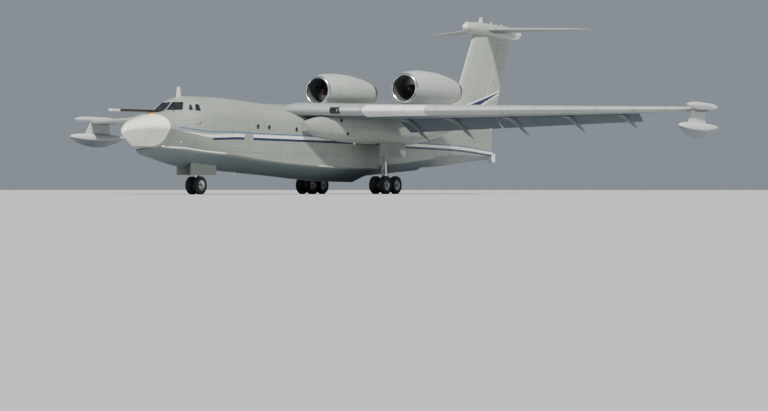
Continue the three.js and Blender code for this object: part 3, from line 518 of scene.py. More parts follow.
def as_shells(shapes):
    """A list of skins, from one grid, one skin or a list of either."""
    if isinstance(shapes, np.ndarray):
        return [closed(shapes)]
    if isinstance(shapes, tuple):
        return [shapes]
    return [shell for shape in shapes for shell in as_shells(shape)]


def opposite(shells):
    """The same skins on the starboard side."""
    return [facing_out(points * [-1, 1, 1], faces) for points, faces in shells]


print("a skin of 3 rings of 8 points has", len(closed(np.zeros((3, 8, 3)))[1]), "faces")

# %% [markdown]
# A piece is one mesh of one or more skins. It rides on a body of the frame, takes the place of the
# solids that it stands for, and carries the panel counts that its paint reads. A mirror modifier
# could make the starboard side, but a twin of its own can ride on a body of its own.

# %% Skins into pieces
PIECES = []
PLAIN = {"panel_along": 0.5, "panel_across": 0.5}


def no_seams(points):
    """Marks for a piece without seams: half way between two of them everywhere."""
    return PLAIN


def mark(piece, marks):
    """Numbers for the paint, one for each vertex, worked out from its place in the aircraft's metres."""
    mesh = piece.data
    places = np.empty(3 * len(mesh.vertices), np.float32)
    mesh.vertices.foreach_get("co", places)
    points = places.reshape(-1, 3) / MODEL_SCALE + [0, MIDDLE_Y, -KEEL_CLEARANCE]
    for name, values in marks(points).items():
        layer = mesh.attributes.get(name) or mesh.attributes.new(name, "FLOAT", "POINT")
        spread = np.broadcast_to(values, len(points))
        layer.data.foreach_set("value", np.ascontiguousarray(spread, np.float32))


def mesh_object(name, shells, finish, sharp=35.0):
    """A mesh object from skins in the aircraft's metres."""
    points, faces = merged(shells)
    mesh = bpy.data.meshes.new(name)
    lists = [face[:3] if face[3] == face[2] else face for face in faces.tolist()]
    mesh.from_pydata(in_model(points).tolist(), [], lists)
    mesh.shade_smooth()
    mesh.set_sharp_from_angle(angle=np.radians(sharp))
    mesh.materials.append(finish)
    piece = bpy.data.objects.new(name, mesh)
    bpy.context.collection.objects.link(piece)
    return piece


def part(name, shapes, finish, body="root", stands_for=(), marks=no_seams, sharp=35.0):
    """A finished piece on its body, in place of the solids that it stands for."""
    piece = mesh_object(name, as_shells(shapes), finish, sharp)
    mark(piece, marks)
    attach(piece, body)
    if stands_for:
        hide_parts(*stands_for)
    PIECES.append(piece)
    return piece


def pair(name, shapes, finish, nodes=(), body=None, marks=no_seams, sharp=35.0):
    """A port piece and its starboard twin, on the root or on a body of their own."""
    port = as_shells(shapes)
    pieces = []
    for side, shells in (("left", port), ("right", opposite(port))):
        on = f"{body}_{side}" if body else "root"
        stands_for = [f"{node}_{side}" for node in nodes]
        pieces.append(part(f"{name}_{side}", shells, finish, on, stands_for, marks, sharp))
    return pieces


def tell(made):
    """Prints what was made, and how many pieces and faces there are by now."""
    faces = sum(len(piece.data.polygons) for piece in PIECES)
    print(f"{made}: {len(PIECES)} pieces and {faces} faces by now")


# %% [markdown]
# Windows and wheel bays are holes in a closed skin. They could be left out of the grid, but their
# edges don't follow its rows. A Boolean takes a shape out of the finished skin instead, exactly,
# and the walls that it leaves get the finish of the shape that was taken out.

# %% Openings in a piece
def carve(piece, shapes, finish, marks, sharp):
    """Takes shapes out of a piece, and gives the new walls a finish of their own."""
    tool = mesh_object("cutter", as_shells(shapes), finish)
    modifier = piece.modifiers.new("opening", "BOOLEAN")
    modifier.solver = "EXACT"
    modifier.operation = "DIFFERENCE"
    modifier.material_mode = "TRANSFER"
    modifier.object = tool
    graph = bpy.context.evaluated_depsgraph_get()
    carved = bpy.data.meshes.new_from_object(piece.evaluated_get(graph))
    piece.modifiers.clear()
    piece.data = carved
    bpy.data.objects.remove(tool)
    carved.set_sharp_from_angle(angle=np.radians(sharp))
    mark(piece, marks)
    print(piece.name, "has", len(carved.polygons), "faces after an opening")


# %% [markdown]
# The floor is plain and pale, with the faintest change of tone. A curved backdrop is the usual
# studio ground, but it would have to be huge, so this is one flat square far wider than the view.

# %% The floor
FLOOR_REACH = 1800.0
floor_recipe = Recipe("plain floor", Roughness=0.9)
floor_tone = floor_recipe.noise(floor_recipe.aircraft_metres(), 0.08)
floor_colour = floor_recipe.blend(floor_tone, (0.46, 0.47, 0.48, 1), (0.49, 0.50, 0.51, 1))
floor_finish = floor_recipe.finish(Base_Color=floor_colour)
floor_corners = np.array([[-1, -1, 0], [1, -1, 0], [1, 1, 0], [-1, 1, 0]]) * FLOOR_REACH
floor_skin = (floor_corners - [0, 0, KEEL_CLEARANCE], np.array([[0, 1, 2, 3]]))
mesh_object("floor", [floor_skin], floor_finish)
print("the floor reaches", FLOOR_REACH * MODEL_SCALE, "m each way")

# %% [markdown]
# Most shapes are one of four kinds: a loft of rings, a profile turned about a line, a tube along a
# path, and a plate over an outline. Blender's own primitives and modifiers could start each of
# them, but a function of two parameters, worked out as arrays, gives the exact station tables back.

# %% Rings and turned shapes
def rings(x, y, z):
    """Rings of points from tables of x, y and z, each spread over the others' rows and places."""
    return np.stack(np.broadcast_arrays(x, y, z), -1)


def full_ring(half_x, half_z, y):
    """Rings from port halves, given from the keel up to the top: the starboard half is their mirror."""
    x = np.hstack([half_x, -half_x[:, -2:0:-1]])
    z = np.hstack([half_z, half_z[:, -2:0:-1]])
    return rings(x, y[:, None], z)


def circle(places):
    """The cosine and sine of evenly spaced angles round a circle."""
    angle = np.linspace(0, 2 * np.pi, places, endpoint=False)
    return np.cos(angle), np.sin(angle)


def turned(profile, x, z, back=0.0, places=64):
    """Rings about a line along y: the profile's [radius, y] points, swept round it."""
    radius, y = np.asarray(profile, float).T[:, :, None]
    c, s = circle(places)
    return rings(x + radius * c, y + back, z + radius * s)


def across(profile, x, y, z, places=64):
    """Rings about a line along x: the profile's [radius, x] points, swept round it."""
    radius, reach = np.asarray(profile, float).T[:, :, None]
    c, s = circle(places)
    return rings(x + reach, y + radius * c, z + radius * s)


def dome(x, y, z, size, steps=12, places=24):
    """An egg shape about a point: rings of sine radius along y, scaled by its three half sizes."""
    turn = np.linspace(0.04, np.pi - 0.04, steps)[:, None]
    c, s = circle(places)
    return rings(x + size[0] * np.sin(turn) * c, y - size[1] * np.cos(turn), z + size[2] * np.sin(turn) * s)


def smooth_profile(points, steps=40):
    """A profile of [radius, y] points as a smooth curve of y."""
    points = np.asarray(points, float)
    y = np.linspace(points[0, 1], points[-1, 1], steps)
    return np.stack([eased(points[:, ::-1], y)[:, 0], y], -1)


print("a dome is a table of", dome(0, 0, 0, (1, 1, 1)).shape, "numbers")

# %% [markdown]
# Hoses, struts and strips follow a line, straight or curved. A curve object with a bevel would do
# this too, but a mesh can thin towards its ends as it likes, and exports as it is.

# %% Tubes and rods
def square_to(along, aside):
    """Two unit directions square to each row's direction and to each other."""
    first = np.cross(along, aside)
    first /= np.linalg.norm(first, axis=-1, keepdims=True)
    second = np.cross(first, along)
    return first, second / np.linalg.norm(second, axis=-1, keepdims=True)


def tube(path, radius, places=12, aside=(0, 0, 1), ring=False):
    """Rings square to a path, with a radius at each point; a ring path joins its own start."""
    path = np.asarray(path, float)
    along = np.roll(path, -1, 0) - np.roll(path, 1, 0) if ring else np.gradient(path, axis=0)
    first, second = square_to(along, aside)
    c, s = (value[None, :, None] for value in circle(places))
    radius = np.broadcast_to(radius, len(path))[:, None, None]
    return path[:, None] + radius * (c * first[:, None] + s * second[:, None])


def rod(start, end, profile, places=24):
    """A straight turned rod: the profile's [share of the length, radius] points between two ends."""
    share, radius = np.asarray(profile, float).T
    start, end = np.asarray(start, float), np.asarray(end, float)
    upright = abs(end - start)[2] > 0.9 * np.linalg.norm(end - start)
    first, second = square_to(end - start, (0, 1, 0.01) if upright else (0.02, 0.01, 1))
    c, s = (value[None, :, None] for value in circle(places))
    path = start + (end - start) * share[:, None]
    return path[:, None] + radius[:, None, None] * (c * first + s * second)


print("a rod is a table of", rod([0, 0, 0], [0, 0, 1], [[0, 0.1], [1, 0.1]]).shape, "numbers")

# %% [markdown]
# Doors, brackets and links are flat plates with softened edges, since a real edge always catches
# some light. A Bevel modifier would soften them too, but a ring a little smaller than the outline
# at each face does it in the grid itself.

# %% Outlines and plates
ALONG_X, ALONG_Y, ALONG_Z = 0, 1, 2


def towards(start, end, distance):
    """Points on the way from start to end: a distance away, or almost half way on a short side."""
    way = end - start
    length = np.linalg.norm(way, axis=1)[:, None]
    return start + way / length * np.minimum(distance, 0.45 * length)


def rounded(corners, radius=0.05, steps=5):
    """An outline with every corner rounded by a parabola between points a radius away from it."""
    corner = np.asarray(corners, float)
    start = towards(corner, np.roll(corner, 1, 0), radius)
    end = towards(corner, np.roll(corner, -1, 0), radius)
    t = np.linspace(0, 1, steps)[None, :, None]
    curve = (1 - t) ** 2 * start[:, None] + 2 * t * (1 - t) * corner[:, None] + t ** 2 * end[:, None]
    return curve.reshape(-1, 2)


def box_outline(low, high, radius=0.03):
    """A rounded rectangle between two opposite corners."""
    (a, b), (c, d) = low, high
    return rounded([[a, b], [c, b], [c, d], [a, d]], radius)


def plate(outline, low, high, axis, bevel=0.006):
    """A plate over an outline, from low to high along an axis, with its edges eased by a bevel."""
    outline = np.asarray(outline, float)
    middle = outline.mean(0)
    inset = 1 - bevel / np.abs(outline - middle).max()
    levels = [(low, inset), (low + bevel, 1), (high - bevel, 1), (high, inset)]
    flat_rings = [(level, middle + (outline - middle) * size) for level, size in levels]
    return np.array([np.insert(flat, axis, level, axis=1) for level, flat in flat_rings])


print("a plate is a table of", plate(box_outline([0, 0], [1, 1]), 0, 0.1, ALONG_Z).shape, "numbers")

# %% [markdown]
# A flying boat's hull is a boat below and a cabin above: a flat V up to a hard chine, a wall that
# bends upright, and a roof that is a superellipse. It could be sculpted, but a hull is drawn as
# stations by its makers, and so it is here. Each row is [y, keel, chine z, chine x, widest z, half
# width, top, tumble], where tumble says how the wall bends. Every value follows a smooth curve.

# %% The hull's stations
FOREBODY = [
    [2.20, 1.12, 1.66, 0.70, 2.55, 1.30, 3.30, 1.0], [3.50, 0.86, 1.60, 1.20, 2.45, 1.58, 3.55, 1.4],
    [4.15, 0.76, 1.54, 1.32, 2.42, 1.66, 4.05, 1.8], [5.00, 0.69, 1.46, 1.48, 2.40, 1.71, 4.29, 2.0],
    [7.40, 0.57, 1.32, 1.67, 2.45, 1.76, 4.32, 2.0], [9.60, 0.45, 1.12, 1.74, 2.45, 1.79, 4.24, 2.0],
    [12.20, 0.32, 0.96, 1.76, 2.45, 1.80, 4.15, 2.0], [15.20, 0.15, 0.84, 1.77, 2.45, 1.80, 4.26, 2.0],
    [18.20, 0.04, 0.77, 1.77, 2.45, 1.80, 4.42, 2.0], [21.33, 0.00, 0.75, 1.77, 2.45, 1.80, 4.42, 2.0],
]
MIDBODY = [
    [21.33, 0.28, 0.93, 1.70, 2.45, 1.80, 4.42, 2.0], [24.60, 0.48, 1.15, 1.60, 2.50, 1.72, 4.36, 2.0],
    [28.84, 0.74, 1.50, 1.32, 2.65, 1.42, 4.28, 2.0],
]
AFTERBODY = [
    [28.84, 0.90, 1.60, 1.26, 2.65, 1.42, 4.28, 2.0], [31.40, 1.00, 1.80, 1.00, 2.75, 1.14, 4.25, 2.0],
    [35.00, 1.28, 1.78, 0.52, 2.85, 0.66, 4.22, 2.0], [38.66, 1.56, 1.74, 0.05, 2.90, 0.08, 3.95, 2.0],
]
ROUNDNESS = 2.3
FIRST_JOINT, SECOND_JOINT = 12.20, 24.60
HULL_SHARP = 24
BOTTOM_PLACES, WALL_PLACES, ROOF_PLACES = 7, 10, 24


def hull_grid(table, start=None, end=None, spacing=0.14):
    """Rings of the hull: a straight V, a wall x = wide + (chine - wide)(1 - t)^tumble, and the roof's
    superellipse x = wide cos^(2/n), z = rise sin^(2/n)."""
    start = table[0][0] if start is None else start
    end = table[-1][0] if end is None else end
    y = np.linspace(start, end, int((end - start) / spacing) + 2)
    keel, chine_z, chine_x, wide_z, wide, top, tumble = (column[:, None] for column in eased(table, y).T)
    t = np.linspace(0, 1, BOTTOM_PLACES)[None]
    bottom_x, bottom_z = chine_x * t, keel + t * (chine_z - keel)
    t = np.linspace(0, 1, WALL_PLACES)[None, 1:-1]
    wall_x = wide + (chine_x - wide) * (1 - t) ** tumble
    wall_z = chine_z + t * (wide_z - chine_z)
    angle = np.radians(np.linspace(0, 90, ROOF_PLACES))[None]
    roof_x = wide * np.cos(angle).clip(0) ** (2 / ROUNDNESS)
    roof_z = wide_z + (top - wide_z) * np.sin(angle).clip(0) ** (2 / ROUNDNESS)
    return full_ring(np.hstack([bottom_x, wall_x, roof_x]), np.hstack([bottom_z, wall_z, roof_z]), y)


def half_width(y, z, grow=0.0):
    """The forebody's half width at a height: the wall below its widest line, the superellipse above."""
    _, chine_z, chine_x, wide_z, wide, top, tumble = eased(FOREBODY, np.ravel(y)).T
    z = np.ravel(z)
    t = np.clip((z - chine_z) / (wide_z - chine_z), 0, 1)
    wall = wide + (chine_x - wide) * (1 - t) ** tumble
    rise = np.clip((z - wide_z) / (top + grow - wide_z), 0, 1)
    return np.where(z > wide_z, wide * (1 - rise ** ROUNDNESS) ** (1 / ROUNDNESS), wall) + grow


def hull_marks(points):
    """Panel counts along and round the hull, what is below its chine and gets the painted shade, and how far
    above the bands' line.
    """
    x, y, z = points.T
    round_hull = np.arctan2(np.abs(x), z - 2.3) / np.pi
    chine = np.where(y < MIDBODY[0][0], eased(FOREBODY, y)[:, 1], eased(MIDBODY, y)[:, 1])
    chine = np.where(y > AFTERBODY[0][0], eased(AFTERBODY, y)[:, 1], chine)
    return {"panel_along": y / 1.45 + 0.3, "panel_across": round_hull * 7 + 0.5,
            "under": (z < chine - 0.004) * 1.0, "band_height": z - eased(BAND_LINE, y)[:, 0]}


print("half width at the wing's root", half_width(14.5, 3.0).round(2), "m")

# %% [markdown]
# The hull is three bodies of skin, as it is three solids, with two steps that break the water's
# hold. One skin would be simpler, but a step is a sudden change, and separate tables keep it sharp.
# The heel and the lugs behind the last station carry the water rudder.

# %% The hull's skins
HEEL, HEEL_HALF = ([38.3, 1.30], [38.75, 1.80]), 0.035
LUG, LUG_DEPTH, LUG_HEIGHTS = ([-0.04, 38.4], [0.04, 38.92]), 0.06, (1.30, 1.92)

fore_grid = hull_grid(FOREBODY, end=FIRST_JOINT, spacing=0.09)
forebody = part("forebody", fore_grid, hull_paint, stands_for=["forward_hull"], marks=hull_marks,
                sharp=HULL_SHARP)
mid_grids = [hull_grid(FOREBODY, start=FIRST_JOINT), hull_grid(MIDBODY, end=SECOND_JOINT)]
part("midbody", mid_grids, hull_paint, stands_for=["centre_hull"], marks=hull_marks, sharp=HULL_SHARP)
heel = plate(box_outline(*HEEL), -HEEL_HALF, HEEL_HALF, ALONG_X)
lugs = [plate(box_outline(*LUG, 0.02), low, low + LUG_DEPTH, ALONG_Z) for low in LUG_HEIGHTS]
after_shapes = [hull_grid(MIDBODY, start=SECOND_JOINT), hull_grid(AFTERBODY, spacing=0.1), heel, *lugs]
part("afterbody", after_shapes, hull_paint, stands_for=["after_hull"], marks=hull_marks, sharp=HULL_SHARP)
tell("hull")

# %% [markdown]
# The flight deck is a real room, with a large pane ahead on each side and two small ones beside it.
# Dark paint on the nose would pass for windows from far away, but not near by. So the room's space
# is taken out of the nose, and each pane is an opening through the wall, drawn on the front view or
# the side view and moved onto the skin.

# %% The cabin's space and the panes' places
CABIN_FRONT, CABIN_BACK, CABIN_FLOOR, CABIN_WALL = 3.62, 7.10, 2.85, 0.06
FRONT_PANE = [[0.05, 3.52], [0.90, 3.52], [0.66, 3.94], [0.05, 3.94]]
SIDE_PANES = [
    [[3.88, 3.52], [4.05, 3.52], [4.22, 3.80], [4.14, 3.81]],
    [[4.17, 3.51], [4.52, 3.49], [4.66, 3.82], [4.47, 3.84]],
]
NOSE_REACH, HALVINGS = (3.0, 4.8), 30


def cabin_grid():
    """Rings of the cabin's space: a flat floor, and the roof's superellipse a wall's thickness inside."""
    y = np.linspace(CABIN_FRONT, CABIN_BACK, 30)
    _, _, _, wide_z, wide, top, _ = (column[:, None] for column in eased(FOREBODY, y).T)
    rise = top - CABIN_WALL - wide_z
    start = np.arcsin(((CABIN_FLOOR - wide_z) / rise) ** (ROUNDNESS / 2))
    angle = start + (np.pi / 2 - start) * np.linspace(0, 1, 24)[None]
    arc_x = (wide - CABIN_WALL) * np.cos(angle).clip(0) ** (2 / ROUNDNESS)
    arc_z = wide_z + rise * np.sin(angle) ** (2 / ROUNDNESS)
    floor_x = arc_x[:, :1] * np.linspace(0, 1, 5)[None, :-1]
    floor_z = np.full(floor_x.shape, CABIN_FLOOR)
    return full_ring(np.hstack([floor_x, arc_x]), np.hstack([floor_z, arc_z]), y)


def nose_y(x, z, grow):
    """Where the nose's skin is for an x and a z: the interval is halved again and again."""
    low, high = (np.full(len(x), y) for y in NOSE_REACH)
    for _ in range(HALVINGS):
        middle = (low + high) / 2
        within = half_width(middle, z, grow) > x
        high = np.where(within, middle, high)
        low = np.where(within, low, middle)
    return high


def front_on_skin(flat, grow):
    """Points of the front view, [x, z], moved onto the nose's skin."""
    return np.stack([flat[:, 0], nose_y(flat[:, 0], flat[:, 1], grow), flat[:, 1]], -1)


def side_on_skin(flat, grow):
    """Points of the side view, [y, z], moved onto the forebody's port skin."""
    return np.stack([half_width(flat[:, 0], flat[:, 1], grow), flat[:, 0], flat[:, 1]], -1)


print("the middle of the nose is at y", nose_y(np.array([0.0]), np.array([3.7]), 0.0).round(2))

# %% [markdown]
# A pane is a thin curved sheet that sits a little behind the skin, and a bead of rubber seals its
# edge. A flat sheet would stand out of a curved nose, so the pane takes the skin's own curve. The
# nose wheel's bay is taken out below in the same way.

# %% Windows and the nose wheel's bay
NOSE_BAY, NOSE_BAY_ROOF = ([-0.42, 4.95], [0.42, 7.25]), 1.42
WIPER_ARM = np.array([[0.62, 3.46], [0.50, 3.60], [0.40, 3.74]])
WIPER_BLADE = np.array([[0.30, 3.60], [0.40, 3.74], [0.50, 3.88]])


def pane_grid(corners, on_skin, steps=10, spread=1.15, depth=0.030, thickness=0.014):
    """A pane: a bilinear patch of its corners, spread into the wall, as a sheet of even thickness."""
    corners = np.asarray(corners, float)
    corners = corners.mean(0) + (corners - corners.mean(0)) * spread
    share = np.linspace(0, 1, steps)
    s, t = (value.ravel()[:, None] for value in np.meshgrid(share, share))
    a, b, c, d = corners
    flat = (1 - t) * ((1 - s) * a + s * b) + t * ((1 - s) * d + s * c)
    outer = on_skin(flat, -depth).reshape(steps, steps, 3)
    inner = on_skin(flat, -depth - thickness).reshape(steps, steps, 3)
    return np.concatenate([outer, inner[:, ::-1]], axis=1)


def bead(corners, on_skin, radius=0.011):
    """A bead of seal round an opening, half sunk in the skin."""
    path = on_skin(rounded(corners), 0.0)
    return looped(tube(path, radius, 8, (0.6, -0.6, 0.2), ring=True))


def wiper():
    """A windscreen wiper: an arm from its pivot below the pane, and a blade across the arm's end."""
    arm = front_on_skin(WIPER_ARM, 0.022)
    wiping = front_on_skin(WIPER_BLADE, 0.012)
    return [tube(arm, [0.014, 0.010, 0.006], 8), tube(wiping, 0.009, 8), dome(*arm[0], (0.03, 0.03, 0.02))]


front_cutter = as_shells(plate(rounded(FRONT_PANE), 3.0, 4.30, ALONG_Y))
side_cutters = as_shells([plate(rounded(corners), 0.6, 2.0, ALONG_X) for corners in SIDE_PANES])
nose_bay = plate(box_outline(*NOSE_BAY), -1.0, NOSE_BAY_ROOF, ALONG_Z)
for cutter, finish in ((cabin_grid(), cabin_cloth), (front_cutter + opposite(front_cutter), seal_grey),
                       (side_cutters + opposite(side_cutters), seal_grey), (nose_bay, bay_paint)):
    carve(forebody, cutter, finish, hull_marks, HULL_SHARP)
pane_views = [(FRONT_PANE, front_on_skin)] + [(corners, side_on_skin) for corners in SIDE_PANES]
panes = as_shells([pane_grid(*view) for view in pane_views])
beads = [bead(*view) for view in pane_views]
part("deck_windows", panes + opposite(panes), deck_glass, stands_for=["flight_deck_glazing"])
part("window_seals", beads + opposite(beads), seal_grey)
pair("wipers", wiper(), black_satin)
tell("windows")

# %% [markdown]
# The radome is the cream cap on the nose, with a rounded lower corner where the hull's grey begins.
# It has stations like the hull's, so the same function makes it. Under it the planing bottom's bow
# reaches forward as a shallow beak, which is a small loft of its own and not a bulge of the cap,
# because the two are different shells on the real aircraft too.

# %% Radome and bow
RADOME = [
    [0.00, 2.30, 2.31, 0.015, 2.34, 0.02, 2.38, 1], [0.06, 2.19, 2.23, 0.050, 2.36, 0.11, 2.51, 1],
    [0.35, 1.97, 2.03, 0.060, 2.45, 0.28, 2.74, 1], [0.85, 1.68, 1.76, 0.090, 2.55, 0.58, 2.96, 1],
    [1.30, 1.49, 1.58, 0.140, 2.60, 0.90, 3.09, 1], [1.75, 1.52, 1.60, 0.430, 2.58, 1.13, 3.20, 1],
    [2.197, 1.60, 1.66, 0.70, 2.55, 1.30, 3.30, 1],
]
BOW = [[1.18, 1.41, 1.46, 0.05], [1.30, 1.30, 1.50, 0.15], [1.75, 1.20, 1.58, 0.44], [2.20, 1.12, 1.65, 0.69],
       [2.45, 1.08, 1.62, 0.76]]
CORNER_Y, CORNER_Z, CORNER_RADIUS = 1.72, 2.14, 0.46


def bow_grid():
    """Rings of the bow: a V with a flat top a little inside the radome."""
    y = np.linspace(BOW[0][0], BOW[-1][0], 24)
    keel, chine, half = (column[:, None] for column in eased(BOW, y).T)
    t = np.linspace(0, 1, 6)[None]
    flat = np.linspace(1, 0, 5)[None, 1:]
    z = np.hstack([keel + (chine - keel) * t, np.repeat(chine + 0.004, 4, axis=1)])
    return full_ring(np.hstack([half * t, half * flat]), z, y)


def radome_marks(points):
    """How far outside the radome's rounded lower rear corner each point is; the rest is below 0."""
    y, z = np.maximum(points[:, 1] - CORNER_Y, 0), np.maximum(CORNER_Z - points[:, 2], 0)
    return {**PLAIN, "corner": np.hypot(y, z) - CORNER_RADIUS}


radome_grid = hull_grid(RADOME, spacing=0.03)
part("radome_cap", radome_grid, radome_paint, stands_for=["radome"], marks=radome_marks, sharp=50)
part("bow", bow_grid(), hull_paint, marks=hull_marks, sharp=HULL_SHARP)
tell("radome and bow")

# %% [markdown]
# Thin strips run along the chines and the keel. They throw the spray aside and take the knocks of
# the slipway. A hull without them would look like a plain shell, because they are what catches the
# light along its hard edges. Each is a tube half sunk in the skin, and those on the chines thin out
# at their ends.

# %% Spray strips and keel strip
def chine_path(start, end, grow, steps=40):
    """Points along the forebody's chine, moved outward a little."""
    y = np.linspace(start, end, steps)
    _, chine_z, chine_x, *_ = eased(FOREBODY, y).T
    return np.stack([chine_x + grow, y, chine_z + 0.01], -1)


def keel_path(start, end, steps=90):
    """Points along the forebody's keel."""
    y = np.linspace(start, end, steps)
    return np.stack([np.zeros(steps), y, eased(FOREBODY, y)[:, 0]], -1)


def strip_grid(path, radius):
    """A spray strip that thins to nothing at both its ends."""
    share = np.linspace(0, 1, len(path))
    return tube(path, radius * np.clip(12 * np.minimum(share, 1 - share), 0.1, 1), 8)


pair("spray_strip_front", strip_grid(chine_path(2.35, 6.6, 0.01), 0.035), white_paint)
pair("spray_strip_middle", strip_grid(chine_path(14.9, 16.6, 0.01), 0.03), white_paint)
pair("chine_rail", strip_grid(chine_path(6.7, 21.2, 0.0, 120), 0.018), pod_paint)
part("keel_strip", tube(keel_path(7.3, 21.3), 0.022, 8), pod_paint)
tell("strips")

# %% [markdown]
# Small fittings give the hull its scale: round windows, the frames of the hatches, a lamp and a lug
# beside the bow, the air data probe, and blade aerials above and below. They could be drawn into
# the paint, but each real one stands a little proud of the skin, and so do these.

# %% Fittings of the hull
PORTHOLES = [[9.08, 2.83], [10.10, 2.81], [12.71, 2.77]]
HATCHES = [([6.42, 1.68], [7.65, 2.02]), ([8.6, 1.5], [9.5, 3.3])]
AIR_DATA_PROBE = [[1.56, 4.30, 2.96], [1.66, 4.22, 2.96], [1.70, 4.10, 2.96], [1.70, 3.86, 2.96]]


def blade(front, back, low, high, rake, x=0.0, half=0.02):
    """A blade aerial: a thin lens in plan, raked back and narrower at its top."""
    share = np.linspace(0, 1, 12)
    lens = np.sin(np.pi * np.clip(share, 0.03, 0.97)) ** 0.7
    z = np.linspace(low, high, 8)[:, None]
    t = (z - low) / (high - low)
    y = front + rake * t + (back - front) * (1 - 0.45 * t) * share
    side = half * (1 - 0.4 * t) * lens
    return rings(np.hstack([x + side, x - side[:, ::-1]]), np.hstack([y, y[:, ::-1]]), z)


def spot(y, z, radius, proud):
    """A round fitting on the forebody's port skin, with an eased rim."""
    x = float(half_width(y, z)[0])
    profile = [[radius, -0.05], [radius, proud * 0.6], [radius * 0.9, proud], [0.004, proud]]
    return across(profile, x, y, z, 32)


def hatch(low, high):
    """The raised frame of a hatch on the forebody's port skin, between two opposite [y, z] corners."""
    path = side_on_skin(box_outline(low, high, 0.08), 0.0)
    return looped(tube(path, 0.010, 6, (1, 0.3, 0.1), ring=True))


pair("porthole_rims", [spot(y, z, 0.17, 0.012) for y, z in PORTHOLES], pod_paint)
pair("portholes", [spot(y, z, 0.13, 0.020) for y, z in PORTHOLES], deck_glass)
pair("hatch_frames", [hatch(low, high) for low, high in HATCHES], pod_paint)
pair("bow_lamp", dome(1.40, 2.90, 1.89, (0.05, 0.05, 0.05)), clear_lens)
pair("bow_lug", dome(0.745, 2.33, 1.69, (0.06, 0.11, 0.045)), white_paint)
pair("air_data_probe", tube(AIR_DATA_PROBE, [0.03, 0.022, 0.016, 0.010]), bright_steel)
part("roof_aerial", blade(4.36, 4.80, 4.10, 4.74, 0.10), white_paint)
part("belly_aerials", [blade(9.3, 9.6, 0.55, 0.22, 0.1), blade(26.2, 26.6, 0.66, 0.30, 0.1)], white_paint)
tell("hull fittings")

# %% [markdown]
# The refuelling probe is a black tube on the centre line, with a pale nozzle at its tip and a
# weathered strut where it stands on the nose. One cylinder would be too even: a real probe steps in
# and out along its length, so each rod is turned from a profile.

# %% Refuelling probe
PROBE_TIP, PROBE_WHITE_END, PROBE_BACK = -1.0, -0.19, 3.60
PROBE_HEIGHT, PROBE_RISE = 3.38, 0.08
SLEEVE = [[0, 0.055], [0.01, 0.06], [0.05, 0.065], [1, 0.065]]
NOZZLE = [[0, 0.030], [0.03, 0.045], [0.16, 0.050], [0.20, 0.066], [0.30, 0.068], [0.36, 0.052],
          [0.93, 0.052], [1, 0.056]]


def probe_point(y):
    """The probe's centre line, which rises slightly towards the cabin."""
    return [0, y, PROBE_HEIGHT + PROBE_RISE * (y - PROBE_TIP) / (PROBE_BACK - PROBE_TIP)]


def probe_foot():
    """The strut under the probe: ellipses that spread towards the nose's skin."""
    t = np.linspace(0, 1, 20)[:, None]
    c, s = circle(24)
    ring_x = (0.05 + 0.09 * (1 - t) ** 2) * c
    ring_y = 2.32 + 0.14 * t + (0.30 + 0.16 * (1 - t) ** 2) * s
    return rings(ring_x, ring_y, 3.10 + 0.30 * t)


part("probe_tube", rod(probe_point(PROBE_WHITE_END), probe_point(PROBE_BACK), SLEEVE), black_satin,
     stands_for=["refuelling_probe"])
part("probe_nozzle", rod(probe_point(PROBE_TIP), probe_point(PROBE_WHITE_END), NOZZLE), probe_white)
part("probe_strut", probe_foot(), strut_orange)
tell("probe")

# %% [markdown]
# Wing, tailplane and fin share one section: the classic four-digit half thickness, over a chord that
# changes along the span. A wing could be one skin with lines for its flaps, but then nothing could
# move. So each surface is cut by shares of its chord, as the real one is by its spars, and slats,
# flaps and ailerons are pieces of their own. A station is [span, leading edge, chord, height, depth].

# %% Lifting surfaces
def half_thickness(f, thickness):
    """Half the section's depth at a share f of the chord: 5 t (0.2969 root f - 0.126 f - ...)."""
    curve = 0.2969 * np.sqrt(f) - 0.126 * f - 0.3516 * f ** 2 + 0.2843 * f ** 3 - 0.1015 * f ** 4
    return 5 * thickness * curve + 0.0008 * f


def surface_values(stations, spans):
    """Leading edge, chord, height and thickness at every span, straight between the stations."""
    table = np.asarray(stations, float)
    return [np.interp(spans, table[:, 0], table[:, k])[:, None] for k in range(1, 5)]


def chord_share(stations, spans, y):
    """How far along the chord places are: 0 at the leading edge and 1 at the trailing edge."""
    lead, chord = (value[:, 0] for value in surface_values(stations, spans)[:2])
    return (y - lead) / chord


def surface_grid(stations, span_from, span_to, from_f, to_f, rows=40, steps=22, grow=0.0):
    """Rings of a lifting surface between two spans and two chord shares: over the top and back below."""
    spans = np.linspace(span_from, span_to, rows)
    lead, chord, height, thickness = surface_values(stations, spans)
    near = (1 - np.cos(np.linspace(0, np.pi / 2, steps))) if from_f < 0.05 else np.linspace(0, 1, steps)
    f = (from_f + (to_f - from_f) * near)[None]
    depth = chord * half_thickness(f, thickness) + grow
    y = np.hstack([lead - grow + f * chord, (lead - grow + f * chord)[:, ::-1]])
    z = np.hstack([height + depth, (height - depth)[:, ::-1]])
    if from_f <= 0 and grow <= 0:
        y, z = y[:, :-1], z[:, :-1]
    return rings(spans[:, None], y, z)


def wicks(stations, spans, height):
    """Thin rods behind the trailing edge that let static charge off."""
    lead, chord, _, _ = surface_values(stations, spans)
    edge = (lead + chord)[:, 0]
    needle = [[0, 0.008], [0.7, 0.007], [1, 0.002]]
    return [rod([x, y - 0.03, height], [x, y + 0.20, height - 0.01], needle, 8) for x, y in zip(spans, edge)]


print("deepest part of a 12% section", half_thickness(0.3, 0.12).round(3), "of the chord each way")

# %% [markdown]
# The wing tapers evenly out to its tip floats, and near the hull its leading edge reaches forward.
# The slats are split where the real ones meet, with the brighter one inboard. Their gaps could be
# dark lines in the paint, but slats are also a little apart on the aircraft, and gaps make shadows.

